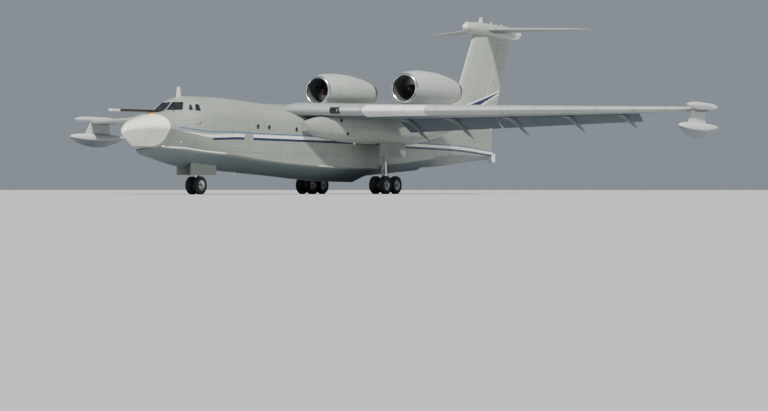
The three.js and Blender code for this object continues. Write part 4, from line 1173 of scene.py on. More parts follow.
# %% The wing's box, root and slats
ROOT_LEAD, ROOT_CHORD, SWEEP, TAPER = 13.86, 7.0, 0.4286, 0.2178
WING_HEIGHT, WING_TIP = 3.85, 20.45
SLAT_FROM, SLAT_TO, SLAT_SHARE, BOX_SHARE = 4.1, 20.0, 0.10, 0.72
SLAT_GAP_SHARE = 0.0015
SLAT_SPANS = [(SLAT_FROM + 0.001, 7.2), (7.23, 11.4), (11.43, 15.7), (15.73, SLAT_TO)]
ROOT_END, LAMP_SPANS, LAMP_SHARE = 3.75, (2.72, 3.10), 0.022
AILERON_RIB = (16.87, 16.95)
# Ahead of the nose share of the chord the leading edge stays out of the painted shade below.
NOSE_SHARE = 0.06


def wing_station(x, forward=0.0, thickness=0.13):
    """The plain tapered wing at a span, with its leading edge drawn forward near the hull."""
    lead = ROOT_LEAD + SWEEP * x - forward
    trail = ROOT_LEAD + ROOT_CHORD + (SWEEP - TAPER) * x
    return [x, lead, trail - lead, WING_HEIGHT, thickness]


WING = [wing_station(1.2, 1.9, 0.105), wing_station(2.1, 1.0, 0.118), wing_station(3.0, 0.3, 0.130),
        wing_station(3.9, 0.0, 0.138), wing_station(WING_TIP, 0.0, 0.113)]


def wing_marks(points):
    """Panel counts along the span and across the chord of the wing, and which points below it get the painted
    shade.
    """
    x, y, z = points.T
    share = chord_share(WING, np.abs(x), y)
    return {"panel_along": np.abs(x) / 1.62 + 0.2, "panel_across": share * 6.0 + 0.3,
            "under": (z < WING_HEIGHT - 0.02) * (share > NOSE_SHARE) * 1.0}


wing_box = surface_grid(WING, SLAT_FROM, SLAT_TO, SLAT_SHARE, BOX_SHARE, 60)
wing_root = [surface_grid(WING, WING[0][0], ROOT_END, 0.0, 1.0, 30, 40),
             surface_grid(WING, ROOT_END, SLAT_FROM, 0.0, BOX_SHARE, 4, 30)]
rib_by_aileron = surface_grid(WING, *AILERON_RIB, BOX_SHARE, 1.0, 3, 12)
wing_end = surface_grid(WING, SLAT_TO, WING_TIP, 0.0, 1.0, 6, 40)
pair("wing_skin", [wing_box, *wing_root, rib_by_aileron, wing_end], wing_paint, ["wing"], marks=wing_marks)
slats = [surface_grid(WING, *spans, 0.0, SLAT_SHARE - SLAT_GAP_SHARE, 12, 14) for spans in SLAT_SPANS]
pair("slat_inner", slats[0], slat_white, ["slat"], marks=wing_marks)
pair("slat_outer", slats[1:], slat_paint, marks=wing_marks)
pair("landing_lamp", surface_grid(WING, *LAMP_SPANS, 0.0, LAMP_SHARE, 8, 10, 0.004), deck_glass)
tell("wing")

# %% [markdown]
# A control surface turns on its own nose: a half round about the hinge line, then flat sides to a
# thin trailing edge. The wing's own section, cut off at the hinge, would bite into the wing as it
# turns, and a round nose doesn't. Its ends stay short of the ribs, so it is free to move.

# %% Control surfaces
AILERON_SPANS, AILERON_HINGE, AILERON_WICKS = (16.966, 19.964), 0.76, (17.4, 18.3, 19.2)


def control_grid(stations, span_from, span_to, hinge, rows=24, side=10):
    """Rings of a control surface: a half circle round the hinge line, and flat sides to its edge."""
    spans = np.linspace(span_from, span_to, rows)
    lead, chord, height, thickness = surface_values(stations, spans)
    nose = 0.93 * chord * half_thickness(hinge, thickness)
    angle = np.radians(np.linspace(90, 270, 17))[None]
    y = lead + hinge * chord + nose * np.cos(angle)
    z = height + nose * np.sin(angle)
    t = np.linspace(0, 1, side)[None, 1:]
    low_y = lead + hinge * chord + (1 - hinge) * chord * t
    low_z = height - nose + (nose - 0.006) * t
    y = np.hstack([y, low_y, low_y[:, ::-1]])
    z = np.hstack([z, low_z, 2 * height - low_z[:, ::-1]])
    return rings(spans[:, None], y, z)


aileron = control_grid(WING, *AILERON_SPANS, AILERON_HINGE)
pair("aileron_skin", aileron, wing_paint, ["aileron"], "aileron", wing_marks)
pair("aileron_wicks", wicks(WING, AILERON_WICKS, WING_HEIGHT), black_satin, body="aileron")
tell("ailerons")

# %% [markdown]
# The flaps hang lowered behind the wing, and the tracks that carry them hide in long drooping
# fairings. A flap could be a bent copy of the wing's own tail, but a real one has a section of its
# own, with a blunt nose. So it is one profile, scaled by the chord and turned down about its nose.

# %% Flaps and their fairings
FLAP_ANGLE = np.radians(31)
FLAP_CHORD, FLAP_NOSE, FLAP_DROP = 0.29, 0.735, 0.020
INNER_FLAP, OUTER_FLAP, FAIRING_SPANS = (3.77, 9.05), (9.15, 16.85), (4.35, 6.9, 10.05, 13.2, 16.1)
FLAP_PROFILE = np.array([[0, 0], [0.012, 0.03], [0.05, 0.055], [0.12, 0.075], [0.22, 0.085], [0.38, 0.078],
                         [0.55, 0.060], [0.78, 0.032], [1, 0.004], [1, -0.004], [0.78, -0.018], [0.5, -0.030],
                         [0.3, -0.040], [0.12, -0.045], [0.03, -0.026]])
FAIRING_ROWS = [[0, 0.02, 0.03], [0.12, 0.09, 0.10], [0.4, 0.13, 0.17], [0.75, 0.10, 0.13], [1, 0.015, 0.02]]
FAIRING_FRONT, FAIRING_BEHIND, FAIRING_DROOP = 0.50, 1.05, 0.31
# How much of the underside's painted shade the flaps and track fairings take.
HANGING_SHADE = 0.95


def flap_grid(span_from, span_to, rows=30):
    """Rings of a lowered flap: one profile, scaled by the chord and turned down about its nose."""
    spans = np.linspace(span_from, span_to, rows)
    lead, chord, _, _ = surface_values(WING, spans)
    along, rise = (FLAP_CHORD * chord * column for column in FLAP_PROFILE.T)
    y = lead + FLAP_NOSE * chord + along * np.cos(FLAP_ANGLE) + rise * np.sin(FLAP_ANGLE)
    z = WING_HEIGHT - FLAP_DROP * chord - along * np.sin(FLAP_ANGLE) + rise * np.cos(FLAP_ANGLE)
    return rings(spans[:, None], y, z)


def fairing_grid(x, rows=36, places=24):
    """Rings of a flap track's fairing: ellipses along a line that droops behind the wing's middle."""
    lead, chord, _, _ = (float(value[0, 0]) for value in surface_values(WING, np.array([x])))
    t = np.linspace(0, 1, rows)
    across_half, depth_half = (column[:, None] for column in eased(FAIRING_ROWS, t).T)
    y = lead + FAIRING_FRONT * chord + t * ((1 - FAIRING_FRONT) * chord + FAIRING_BEHIND)
    droop = FAIRING_DROOP * chord * np.maximum(0, t - 0.30) ** 1.2
    middle = WING_HEIGHT - 0.05 * chord - droop - 0.05
    c, s = circle(places)
    return rings(x + across_half * c, y[:, None], middle[:, None] + depth_half * s)


def below_marks(points):
    """Marks for what hangs under the wing: no seams, and mostly the underside's painted shade."""
    return {**PLAIN, "under": HANGING_SHADE}


def flap_marks(points):
    """Panel counts of a flap: ribs along the span, and mostly the underside's painted shade."""
    return {**PLAIN, "panel_along": np.abs(points[:, 0]) / 0.9, "under": HANGING_SHADE}


pair("inner_flap_blade", flap_grid(*INNER_FLAP), wing_paint, ["inner_flap"], marks=flap_marks)
pair("outer_flap_blade", flap_grid(*OUTER_FLAP), wing_paint, ["outer_flap"], marks=flap_marks)
pair("track_fairings", [fairing_grid(span) for span in FAIRING_SPANS], wing_paint, marks=below_marks)
tell("flaps")

# %% [markdown]
# A nacelle is a deep hollow shell. One surface with a Solidify modifier would have an even wall, but
# a real wall swells behind the lip and is thin at the nozzle. So it is drawn as a loop: the outside
# going back, then the inside coming forward. Its lip is a ring of bright metal, because paint
# doesn't last on it, and a dark sheet inside the duct is painted shade.

# %% Nacelles
ENGINE_X, ENGINE_Y, ENGINE_Z = 2.95, 22.15, 5.40
OUTSIDE = np.array([[0.785, 0.0], [0.835, 0.03], [0.875, 0.09], [0.93, 0.28], [1.01, 0.75], [1.08, 1.80],
                    [1.06, 3.00], [0.92, 4.50], [0.66, 5.90]])
INSIDE = np.array([[0.765, 0.0], [0.735, 0.03], [0.715, 0.10], [0.70, 0.35], [0.73, 0.90], [0.73, 4.60],
                   [0.70, 4.75], [0.61, 5.90]])
LIP_BACK, NOZZLE_FRONT, NACELLE_BACK = 0.13, 5.55, 5.90


def wall_loop(start, end, steps, grow=0.0):
    """The nacelle's wall between two depths, as one loop of [radius, depth] points."""
    depth = start + (end - start) * np.linspace(0, 1, steps) ** (1.6 if start == 0 else 1.0)
    outer = eased(OUTSIDE[:, ::-1], depth)[:, 0] + grow
    inner = eased(INSIDE[:, ::-1], depth)[:, 0] - grow
    return np.vstack([np.stack([outer, depth], -1), np.stack([inner, depth], -1)[::-1]])


def around_engine(loop, places=72):
    """A loop of points turned about the engine's line."""
    return looped(turned(loop, ENGINE_X, ENGINE_Z, ENGINE_Y, places))


def nacelle_marks(points):
    """Panel counts along and round an engine."""
    x, y, z = points.T
    turn = np.arctan2(z - ENGINE_Z, np.abs(x) - ENGINE_X) / (2 * np.pi)
    return {"panel_along": (y - ENGINE_Y) / 1.5 + 0.35, "panel_across": turn * 8 + 0.25}


cowl = around_engine(wall_loop(LIP_BACK, NOZZLE_FRONT, 50))
pair("nacelle_shell", cowl, nacelle_paint, ["nacelle"], marks=nacelle_marks)
pair("intake_lip", around_engine(wall_loop(0, LIP_BACK, 16)), lip_alloy)
pair("nozzle_ring", around_engine(wall_loop(NOZZLE_FRONT, NACELLE_BACK, 10, 0.002)), burnt_steel)
# A dark sheet inside each duct, as painted shade where the intake's inside lies in shade.
shade_sheet_loop = [[0.722, 0.14], [0.706, 0.35], [0.736, 0.90], [0.736, 1.28], [0.722, 1.28], [0.722, 0.90],
          [0.692, 0.35], [0.708, 0.14]]
pair("duct_shade_sheet", around_engine(shade_sheet_loop), duct_shade_coat)
tell("nacelles")

# %% [markdown]
# The fan is a spinner with wide twisted blades. A disc with a striped image would do from far away,
# but this fan turns, and each blade catches the light in its turn. A blade is a thin lens that lies
# nearly along the shaft at its root and nearly across it at its tip, turned for each of the others.

# %% Fans and engines
BLADE_COUNT, VANE_COUNT = 26, 36
FAN_FRONT, BLADE_MIDDLE = 0.95, 1.05
BLADE_ROOT, BLADE_TIP = 0.235, 0.708
HUB_FRONT = FAN_FRONT - 0.01
HUB = [[0.24, HUB_FRONT], [0.25, 1.15], [0.12, 1.19], [0.11, 1.248]]
SPINNER = [[0.004, 0.53], [0.07, 0.56], [0.15, 0.68], [0.22, 0.85], [0.242, HUB_FRONT]]
CORE = [[0.004, 1.25], [0.12, 1.25], [0.16, 1.30], [0.728, 1.30], [0.728, 4.58], [0.34, 4.58]]
CONE = [[0.36, 4.50], [0.37, 4.9], [0.31, 5.5], [0.18, 6.05], [0.05, 6.32], [0.004, 6.33]]


def fan_blades():
    """Every blade at once: a lens of chord and camber, twisted along the radius, then turned."""
    share = np.linspace(0, 1, 10)[:, None]
    radius = BLADE_ROOT + (BLADE_TIP - BLADE_ROOT) * share
    chord = 0.15 + 0.08 * share
    twist = np.radians(28 + 34 * share)
    along = np.linspace(-0.5, 0.5, 9)[None]
    lens = 0.012 * (1 - (2 * along) ** 2) + 0.0015
    camber = 0.10 * chord * (1 - (2 * along) ** 2)
    u = np.hstack([chord * along, (chord * along)[:, ::-1]])
    v = np.hstack([camber + lens, (camber - lens)[:, ::-1]])
    side = u * np.sin(twist) + v * np.cos(twist)
    y = ENGINE_Y + BLADE_MIDDLE + u * np.cos(twist) - v * np.sin(twist)
    return [rings(ENGINE_X + side * c + radius * s, y, ENGINE_Z + radius * c - side * s)
            for c, s in zip(*circle(BLADE_COUNT))]


def stator_vanes():
    """The thin vanes behind the fan: one upright plate, turned about the shaft for each of them."""
    vane = plate(box_outline([0.10, 1.262], [0.70, 1.296], 0.01), -0.006, 0.006, ALONG_Z, 0.002)
    turns = [np.array([[c, 0, s], [0, 1, 0], [-s, 0, c]]) for c, s in zip(*circle(VANE_COUNT))]
    return [vane @ turn + [ENGINE_X, ENGINE_Y, ENGINE_Z] for turn in turns]


def engine_turned(profile, steps=40):
    """A smooth turned piece on the engine's line."""
    return turned(smooth_profile(profile, steps), ENGINE_X, ENGINE_Z, ENGINE_Y)


pair("fan_blades", fan_blades() + [engine_turned(HUB, 16)], fan_titanium, ["fan"], "fan")
pair("fan_spinner", engine_turned(SPINNER, 24), spinner_brown, body="fan")
core = turned(CORE, ENGINE_X, ENGINE_Z, ENGINE_Y)
pair("engine_core", [core] + stator_vanes(), engine_steel, ["engine_block"], sharp=30)
pair("exhaust_cone", engine_turned(CONE), burnt_steel)
tell("engines")

# %% [markdown]
# A long pod on each side of the hull takes the main wheels in flight, and ends in a small booster
# engine's nozzle. Boxes with rounded edges would look stiff here. A superellipse is nearly as roomy
# as a box and still round, and its rows lead smoothly from the thin front to the nozzle.

# %% Gear pods and booster nozzles
GEAR_POD = [
    [13.2, 1.90, 0.25, 2.70, 3.20], [14.7, 2.12, 0.52, 2.36, 3.60], [17.0, 2.40, 0.84, 2.16, 3.85],
    [20.0, 2.50, 0.92, 2.10, 3.95], [23.0, 2.50, 0.92, 2.14, 3.98], [26.0, 2.50, 0.84, 2.54, 4.06],
    [28.6, 2.50, 0.62, 3.10, 4.30], [30.1, 2.48, 0.41, 3.58, 4.42],
]
POD_ROUNDNESS, POD_SHARP = 2.6, 35
POD_MIDDLE_X, POD_MIDDLE_Z = 2.45, 3.1
MAIN_BAY, MAIN_BAY_LEVELS = ([2.02, 19.4], [2.94, 22.4]), (1.5, 3.25)
INLET = [[0.10, -0.1], [0.10, 0.01], [0.075, 0.02], [0.004, 0.02]]
INLET_PLACES = ((16.02, 2.62), (15.56, 3.3))
BOOSTER = [[0.005, 0.10], [0.24, 0.10], [0.235, 0.42], [0.25, 0.455], [0.275, 0.455], [0.295, 0.40],
           [0.31, 0.20], [0.315, 0.0], [0.20, -0.02], [0.004, -0.02]]


def pod_rings(places=56, spacing=0.12):
    """Rings of the gear pod: superellipses of the rows' [y, x, half width, low, high]."""
    y = np.arange(GEAR_POD[0][0], GEAR_POD[-1][0] + spacing / 2, spacing)
    x, half, low, high = (column[:, None] for column in eased(GEAR_POD, y).T)
    angle = (np.arange(places) + 0.5) / places * 2 * np.pi
    c, s = (np.sign(value) * np.abs(value) ** (2 / POD_ROUNDNESS) for value in (np.cos(angle), np.sin(angle)))
    return rings(x + half * c, y[:, None], (low + high) / 2 + (high - low) / 2 * s)


def pod_side(y, z):
    """How far out the gear pod's skin is at a station and a height."""
    x, half, low, high = (float(value) for value in eased(GEAR_POD, [y])[0])
    share = abs(2 * z - low - high) / (high - low)
    return x + half * (1 - share ** POD_ROUNDNESS) ** (1 / POD_ROUNDNESS)


def pod_marks(points):
    """Panel counts along and round a gear pod."""
    x, y, z = points.T
    turn = np.arctan2(z - POD_MIDDLE_Z, np.abs(x) - POD_MIDDLE_X) / (2 * np.pi)
    return {"panel_along": y / 1.5 + 0.1, "panel_across": turn * 7 + 0.2}


pods = pair("gear_pod_skin", pod_rings(), pod_paint, ["gear_pod"], marks=pod_marks)
bay = as_shells(plate(box_outline(*MAIN_BAY), *MAIN_BAY_LEVELS, ALONG_Z))
for pod, cutter in zip(pods, (bay, opposite(bay))):
    carve(pod, cutter, bay_paint, pod_marks, POD_SHARP)
pair("jack_pad", rod([2.4, 17.6, 2.06], [2.4, 17.6, 2.4], [[0, 0.10], [0.02, 0.11], [1, 0.11]]), bright_steel)
# Each inlet is a dark disc: painted shade for the inside of its opening.
pair("pod_inlets", [across(INLET, pod_side(y, z), y, z, 24) for y, z in INLET_PLACES], vent_shade_coat)
pair("booster_end", turned(BOOSTER, 2.48, 4.0, 30.1), booster_steel, ["booster_nozzle"], sharp=40)
tell("gear pods")

# %% [markdown]
# The engines stand on short pylons over the pods, and each wing ends in a slim pod with a float
# below it. Flat plates would carry them as well, but air flows past, so each pylon is an upright
# lens, a loft of a few rows, and the tip pod is turned. The float's V bottom and rounded deck meet in
# a hard chine, so it is drawn like the hull, from the keel up.

# %% Engine pylons, tip pods and floats
def standing_grid(rows, shape, x, low, high, steps):
    """Rings of an upright pylon: a lens in plan, scaled by the rows' [z, front, back, half width]."""
    z = np.linspace(low, high, steps)
    front, back, half = (column[:, None] for column in eased(rows, z).T)
    y = front + (back - front) * shape[:, 0]
    side = half * shape[:, 1]
    return rings(x + np.hstack([side, -side[:, ::-1]]), np.hstack([y, y[:, ::-1]]), z[:, None])


PYLON_ROWS = [[3.45, 22.9, 28.8, 0.30], [4.30, 22.9, 28.1, 0.26], [5.20, 23.2, 27.5, 0.24]]
PYLON_SHAPE = np.array([[0, 0.05], [0.02, 0.30], [0.06, 0.56], [0.12, 0.75], [0.22, 0.92], [0.35, 1],
                        [0.55, 0.93], [0.75, 0.78], [0.90, 0.42], [1, 0.06]])
PYLON_LEVELS, PYLON_RINGS = (3.45, 5.0), 16
TIP_POD = [[0.006, 21.35], [0.08, 21.5], [0.15, 21.95], [0.18, 22.8], [0.17, 24.4], [0.12, 25.3],
           [0.04, 25.75]]
TIP_POD_X, TIP_POD_Z = 20.58, 4.03
FLOAT = [
    [20.70, 0.03, 2.86, 2.90, 2.94], [20.84, 0.13, 2.74, 2.86, 3.02], [21.10, 0.23, 2.62, 2.82, 3.07],
    [21.90, 0.35, 2.40, 2.76, 3.12], [23.20, 0.39, 2.26, 2.74, 3.13], [23.90, 0.38, 2.28, 2.76, 3.12],
    [25.20, 0.30, 2.55, 2.86, 3.06], [26.20, 0.05, 2.84, 2.92, 2.98],
]
FLOAT_X, FLOAT_PYLON_X = 20.42, 20.36
FLOAT_PYLON_ROWS = [[2.92, 21.9, 24.6, 0.075], [3.85, 22.6, 24.5, 0.075]]
FLOAT_PYLON_LEVELS, FLOAT_PYLON_RINGS = (2.98, 3.86), 12
LENS_SHAPE = np.array([[0, 0.08], [0.04, 0.40], [0.12, 0.68], [0.25, 0.90], [0.45, 1], [0.75, 0.60],
                       [1, 0.1]])
WING_TIP_WICKS = (20.08, 20.24, 20.40)
WING_LAMP_X, WING_LAMP_SIZE = 20.47, (0.05, 0.16, 0.05)


def float_grid():
    """Rings of a tip float: a V bottom to a hard chine, and a rounded deck over it."""
    y = np.linspace(FLOAT[0][0], FLOAT[-1][0], 70)
    half, keel, chine, top = (column[:, None] for column in eased(FLOAT, y).T)
    t = np.linspace(0, 1, 7)[None]
    angle = np.radians(np.linspace(0, 90, 14))[None, 1:]
    x = np.hstack([half * t, half * np.cos(angle).clip(0) ** 0.8])
    z = np.hstack([keel + (chine - keel) * t, chine + (top - chine) * np.sin(angle) ** 0.8])
    return full_ring(x, z, y) + [FLOAT_X, 0, 0]


def float_marks(points):
    """Marks for a float: no seams, and a painted shade on the V below its chine."""
    chine = eased(FLOAT, points[:, 1])[:, 2]
    return {**PLAIN, "under": (points[:, 2] < chine - 0.005) * 1.0}


pylon = standing_grid(PYLON_ROWS, PYLON_SHAPE, ENGINE_X, *PYLON_LEVELS, PYLON_RINGS)
pair("pylon_skin", pylon, nacelle_paint, ["engine_pylon"], marks=nacelle_marks)
tip_pod = turned(smooth_profile(TIP_POD), TIP_POD_X, TIP_POD_Z, places=32)
pair("tip_pod_skin", tip_pod, float_paint, ["tip_pod"])
float_pylon = standing_grid(FLOAT_PYLON_ROWS, LENS_SHAPE, FLOAT_PYLON_X, *FLOAT_PYLON_LEVELS,
                            FLOAT_PYLON_RINGS)
pair("float_skin", [float_grid(), float_pylon], float_paint, ["tip_float"], marks=float_marks, sharp=28)
pair("wing_wicks", wicks(WING, WING_TIP_WICKS, WING_HEIGHT), black_satin)
pair("tip_lamp", dome(20.60, 21.40, TIP_POD_Z, (0.06, 0.09, 0.06)), clear_lens)
part("port_lamp", dome(WING_LAMP_X, 22.80, WING_HEIGHT, WING_LAMP_SIZE), red_lens)
part("starboard_lamp", dome(-WING_LAMP_X, 22.80, WING_HEIGHT, WING_LAMP_SIZE), green_lens)
tell("pylons and floats")

# %% [markdown]
# The fin is a swept surface with the rudder hung behind it. A function for upright surfaces would
# repeat everything that the wing's does. So the fin is drawn lying down like a wing and then stood
# up, and the same functions serve for it.

# %% Fin and rudder
FIN = [[3.80, 31.20, 7.70, 0, 0.068], [4.45, 33.24, 5.95, 0, 0.090], [9.80, 36.38, 5.20, 0, 0.085]]
FIN_FOOT, FIN_BOX_TOP, FIN_TOP, FIN_BOX_SHARE = 4.5, 9.34, 9.80, 0.645
RUDDER_SPANS, RUDDER_HINGE = (4.55, 9.255), 0.68


def stood_up(grid):
    """A surface drawn with its span along x, turned to stand with its span along z."""
    return np.stack([-grid[..., 2], grid[..., 1], grid[..., 0]], -1)


def fin_marks(points):
    """Panel counts up and across the fin."""
    _, y, z = points.T
    return {"panel_along": z / 1.15 + 0.4, "panel_across": chord_share(FIN, z, y) * 4.0 + 0.55}


fin_shells = [surface_grid(FIN, FIN_FOOT, FIN_BOX_TOP, 0.0, FIN_BOX_SHARE, 40, 30),
              surface_grid(FIN, FIN[0][0], FIN_FOOT, 0.0, 1.0, 14, 40),
              surface_grid(FIN, FIN_BOX_TOP, FIN_TOP, 0.0, 1.0, 6, 40)]
rudder = stood_up(control_grid(FIN, *RUDDER_SPANS, RUDDER_HINGE, 40))
part("fin_skin", [stood_up(grid) for grid in fin_shells], tail_paint, stands_for=["fin"], marks=fin_marks)
part("rudder_skin", rudder, tail_paint, "rudder", ["rudder"], fin_marks)
tell("fin and rudder")

# %% [markdown]
# On top of the fin a bullet fairing carries the tailplane. It has a pale cap at each end. The caps
# could be painted on, but a separate skin a hair proud of the bullet gives each the fine edge that
# the real cap has.

# %% Bullet fairing
TAIL_HEIGHT = 9.96
BULLET = np.array([[0.004, 34.90], [0.10, 34.93], [0.17, 35.02], [0.33, 35.60], [0.42, 36.80], [0.43, 39.60],
                   [0.40, 41.30], [0.33, 42.35], [0.20, 42.72], [0.004, 42.84]])


def bullet_marks(points):
    """Panel counts along the bullet."""
    return {**PLAIN, "panel_along": points[:, 1] / 1.3 + 0.2}


def bullet_between(start, end, grow, steps):
    """The bullet's turned skin between two stations, a little proud where it is a cap."""
    y = np.linspace(start, end, steps)
    radius = np.clip(eased(BULLET[:, ::-1], y)[:, 0] + grow, 0.004, None)
    return turned(np.stack([radius, y], -1), 0, TAIL_HEIGHT)


bullet = bullet_between(35.0, 41.65, 0.0, 60)
part("bullet_skin", bullet, tail_paint, stands_for=["tail_bullet"], marks=bullet_marks)
part("bullet_nose", bullet_between(34.90, 35.10, 0.002, 14), white_paint)
part("bullet_tail", bullet_between(41.6, 42.84, 0.003, 30), white_paint)
tell("bullet")

# %% [markdown]
# The tailplane passes through the bullet, and an elevator hangs behind each half. It could be the
# wing made smaller, but its sweep is its own, so the wing's functions get other stations. Blade
# aerials and a small bump stand on the bullet, and two lamps and the water rudder, which steers the
# boat at low speed, close the stern.

# %% Tailplane, elevators and water rudder
TAILPLANE = [[0.15, 37.35, 3.60, TAIL_HEIGHT, 0.100], [5.30, 40.20, 1.55, TAIL_HEIGHT, 0.095],
             [5.935, 40.95, 0.90, TAIL_HEIGHT, 0.080]]
TAIL_ROOT_END, TAIL_END_FROM, TAIL_BOX_SHARE = 0.62, 5.20, 0.665
ELEVATOR_SPANS, ELEVATOR_HINGE = (0.636, 5.155), 0.70
TAIL_WICKS = (5.28, 5.48, 5.68, 5.85)
STERN_LAMP_Y, STERN_LAMP_SIZE = 38.93, (0.045, 0.05, 0.05)
WATER_LOW, WATER_HIGH, WATER_PIN_Y, WATER_PIN_REACH = 1.374, 1.906, 38.86, 0.012
WATER_ROWS = [[WATER_LOW, 38.83, 39.28, 0.03], [WATER_HIGH, 38.83, 39.28, 0.03]]
WATER_SHAPE = np.array([[0, 0.35], [0.04, 0.8], [0.12, 1], [0.5, 0.6], [1, 0.25]])


def tail_marks(points):
    """Panel counts along and across the tailplane, and which points below it get the painted shade."""
    x, y, z = points.T
    share = chord_share(TAILPLANE, np.abs(x), y)
    return {"panel_along": np.abs(x) / 1.2 + 0.3, "panel_across": share * 4.0 + 0.4,
            "under": (z < TAIL_HEIGHT - 0.01) * (share > NOSE_SHARE) * 1.0}


tail_shells = [surface_grid(TAILPLANE, TAIL_ROOT_END, TAIL_END_FROM, 0.0, TAIL_BOX_SHARE, 30, 24),
               surface_grid(TAILPLANE, TAILPLANE[0][0], TAIL_ROOT_END, 0.0, 1.0, 6, 34),
               surface_grid(TAILPLANE, TAIL_END_FROM, TAILPLANE[-1][0], 0.0, 1.0, 14, 34)]
pair("tailplane_skin", tail_shells, wing_paint, ["tailplane"], marks=tail_marks)
elevator = control_grid(TAILPLANE, *ELEVATOR_SPANS, ELEVATOR_HINGE)
pair("elevator_skin", elevator, wing_paint, ["elevator"], "elevator", tail_marks)
pair("tail_wicks", wicks(TAILPLANE, TAIL_WICKS, TAIL_HEIGHT), black_satin)
bullet_blades = [blade(36.9, 37.5, 10.34, 10.72, 0.25, half=0.03), blade(38.6, 38.8, 10.36, 10.56, 0.06),
                 blade(40.1, 40.3, 10.33, 10.53, 0.06)]
part("bullet_aerials", bullet_blades, white_paint)
part("bullet_bump", dome(0, 35.35, 10.22, (0.10, 0.22, 0.09)), white_paint)
part("tail_lamp_red", dome(0, STERN_LAMP_Y, 3.98, STERN_LAMP_SIZE), red_lens)
part("tail_lamp_white", dome(0, STERN_LAMP_Y, 3.86, STERN_LAMP_SIZE), clear_lens)
water_pin = rod([0, WATER_PIN_Y, WATER_LOW - WATER_PIN_REACH], [0, WATER_PIN_Y, WATER_HIGH + WATER_PIN_REACH],
                [[0, 0.025], [1, 0.025]])
water_blade = standing_grid(WATER_ROWS, WATER_SHAPE, 0, WATER_LOW, WATER_HIGH, 6)
part("water_rudder_skin", [water_blade, water_pin], white_paint, "water_rudder", ["water_rudder"])
tell("tail")

# %% [markdown]
# A tyre's section is one loop with grooves in its tread, swept round the axle. A torus with a bump
# map would have a smooth outline from ahead, where the grooves should notch it, so they are cut
# in the loop. The wheel inside is a dished alloy disc with a ring of bolts, and the pieces of one
# axle turn together.

# %% Tyres and wheels
GROUND = -KEEL_CLEARANCE
TYRE_HALF = [[0.58, 0.78], [0.61, 0.93], [0.68, 1.0], [0.78, 1.01], [0.87, 0.97], [0.935, 0.88],
             [0.975, 0.74], [0.988, 0.60], [0.993, 0.53], [0.968, 0.52], [0.968, 0.45], [0.996, 0.44],
             [1.0, 0.22], [0.972, 0.21], [0.972, 0.14], [1.0, 0.13]]
WHEEL_HALF = [[0.004, 0.50], [0.10, 0.50], [0.13, 0.42], [0.20, 0.30], [0.36, 0.26], [0.46, 0.42],
              [0.53, 0.72], [0.60, 0.80]]


def both_faces(half):
    """A wheel's profile from one half and its mirror, as [radius, reach] shares."""
    half = np.asarray(half, float)
    return np.vstack([half, half[::-1] * [1, -1]])


def bolts(x, y, z, ring, size, count, reach):
    """A ring of bolts through a disc, each a short six-sided rod along x."""
    profile = [[0.3 * size, -reach], [size, -reach], [size, reach], [0.3 * size, reach]]
    return [across(profile, x, y + ring * c, z + ring * s, 6) for c, s in zip(*circle(count))]


def axle_set(y, radius, gap, width, reach, x=0.0):
    """Tyres, alloy and steel of two wheels on one axle: three lists of skins."""
    z = GROUND + radius
    axle = [[0.03, -reach], [0.06, 0.02 - reach], [0.06, reach - 0.02], [0.03, reach]]
    drum = [[0.10, -0.05], [0.40 * radius, -0.05], [0.42 * radius, 0.05], [0.10, 0.05]]
    tyres, alloy, steel = [], [], [across(axle, x, y, z, 24)]
    for side in (-gap, gap):
        scale = [radius, width / 2]
        tyres.append(looped(across(both_faces(TYRE_HALF) * scale, x + side, y, z, 60)))
        alloy.append(across(both_faces(WHEEL_HALF) * scale, x + side, y, z, 48))
        steel += bolts(x + side, y, z, 0.28 * radius, 0.012, 8, 0.20 * width)
        steel.append(across(drum, x + side * 0.58, y, z, 32))
    return tyres, alloy, steel


print("one axle has", sum(len(shapes) for shapes in axle_set(0, 0.5, 0.3, 0.3, 0.5)), "shapes")

# %% [markdown]
# Each main leg carries four wheels on two axles, and the nose leg carries two. One wheel could be
# copied as an object, but then each copy would be a piece of its own to move. So all that turns
# with one axle is drawn in its place, and rides on that axle's body.

# %% The axles in their places
LEG_X, LEG_Y, AXLE_STEP = 2.48, 20.90, 0.58
MAIN_TYRE_RADIUS, MAIN_GAP, MAIN_TYRE_WIDTH, MAIN_AXLE_REACH = 0.515, 0.31, 0.34, 0.50
NOSE_LEG_Y = 6.065
NOSE_TYRE_RADIUS, NOSE_GAP, NOSE_TYRE_WIDTH, NOSE_AXLE_REACH = 0.465, 0.24, 0.28, 0.40

main_sizes = (MAIN_TYRE_RADIUS, MAIN_GAP, MAIN_TYRE_WIDTH, MAIN_AXLE_REACH)
for end, step in (("front", -AXLE_STEP), ("rear", AXLE_STEP)):
    node = f"main_wheels_{end}"
    tyres, alloy, steel = axle_set(LEG_Y + step, *main_sizes, LEG_X)
    pair(f"main_{end}_tyres", tyres, rubber, [node], node)
    pair(f"main_{end}_discs", alloy, wheel_alloy, body=node)
    pair(f"main_{end}_axle", steel, engine_steel, body=node)
nose_sizes = (NOSE_TYRE_RADIUS, NOSE_GAP, NOSE_TYRE_WIDTH, NOSE_AXLE_REACH)
nose_tyres, nose_alloy, nose_steel = axle_set(NOSE_LEG_Y, *nose_sizes)
part("nose_tyres", nose_tyres, rubber, "nose_wheels", ["nose_wheels"])
part("nose_discs", nose_alloy, wheel_alloy, "nose_wheels")
part("nose_axle", nose_steel, engine_steel, "nose_wheels")
tell("wheels")

# %% [markdown]
# A landing gear leg is an oil and gas spring: a thick outer cylinder, a bright piston inside it, and
# a pair of hinged links ahead that keep the piston from turning. A stay braces it, and hoses run
# down it to the brakes. One plain tube would carry the wheels as well, but it is the steps, pins
# and links that tell the eye how heavy the load is.

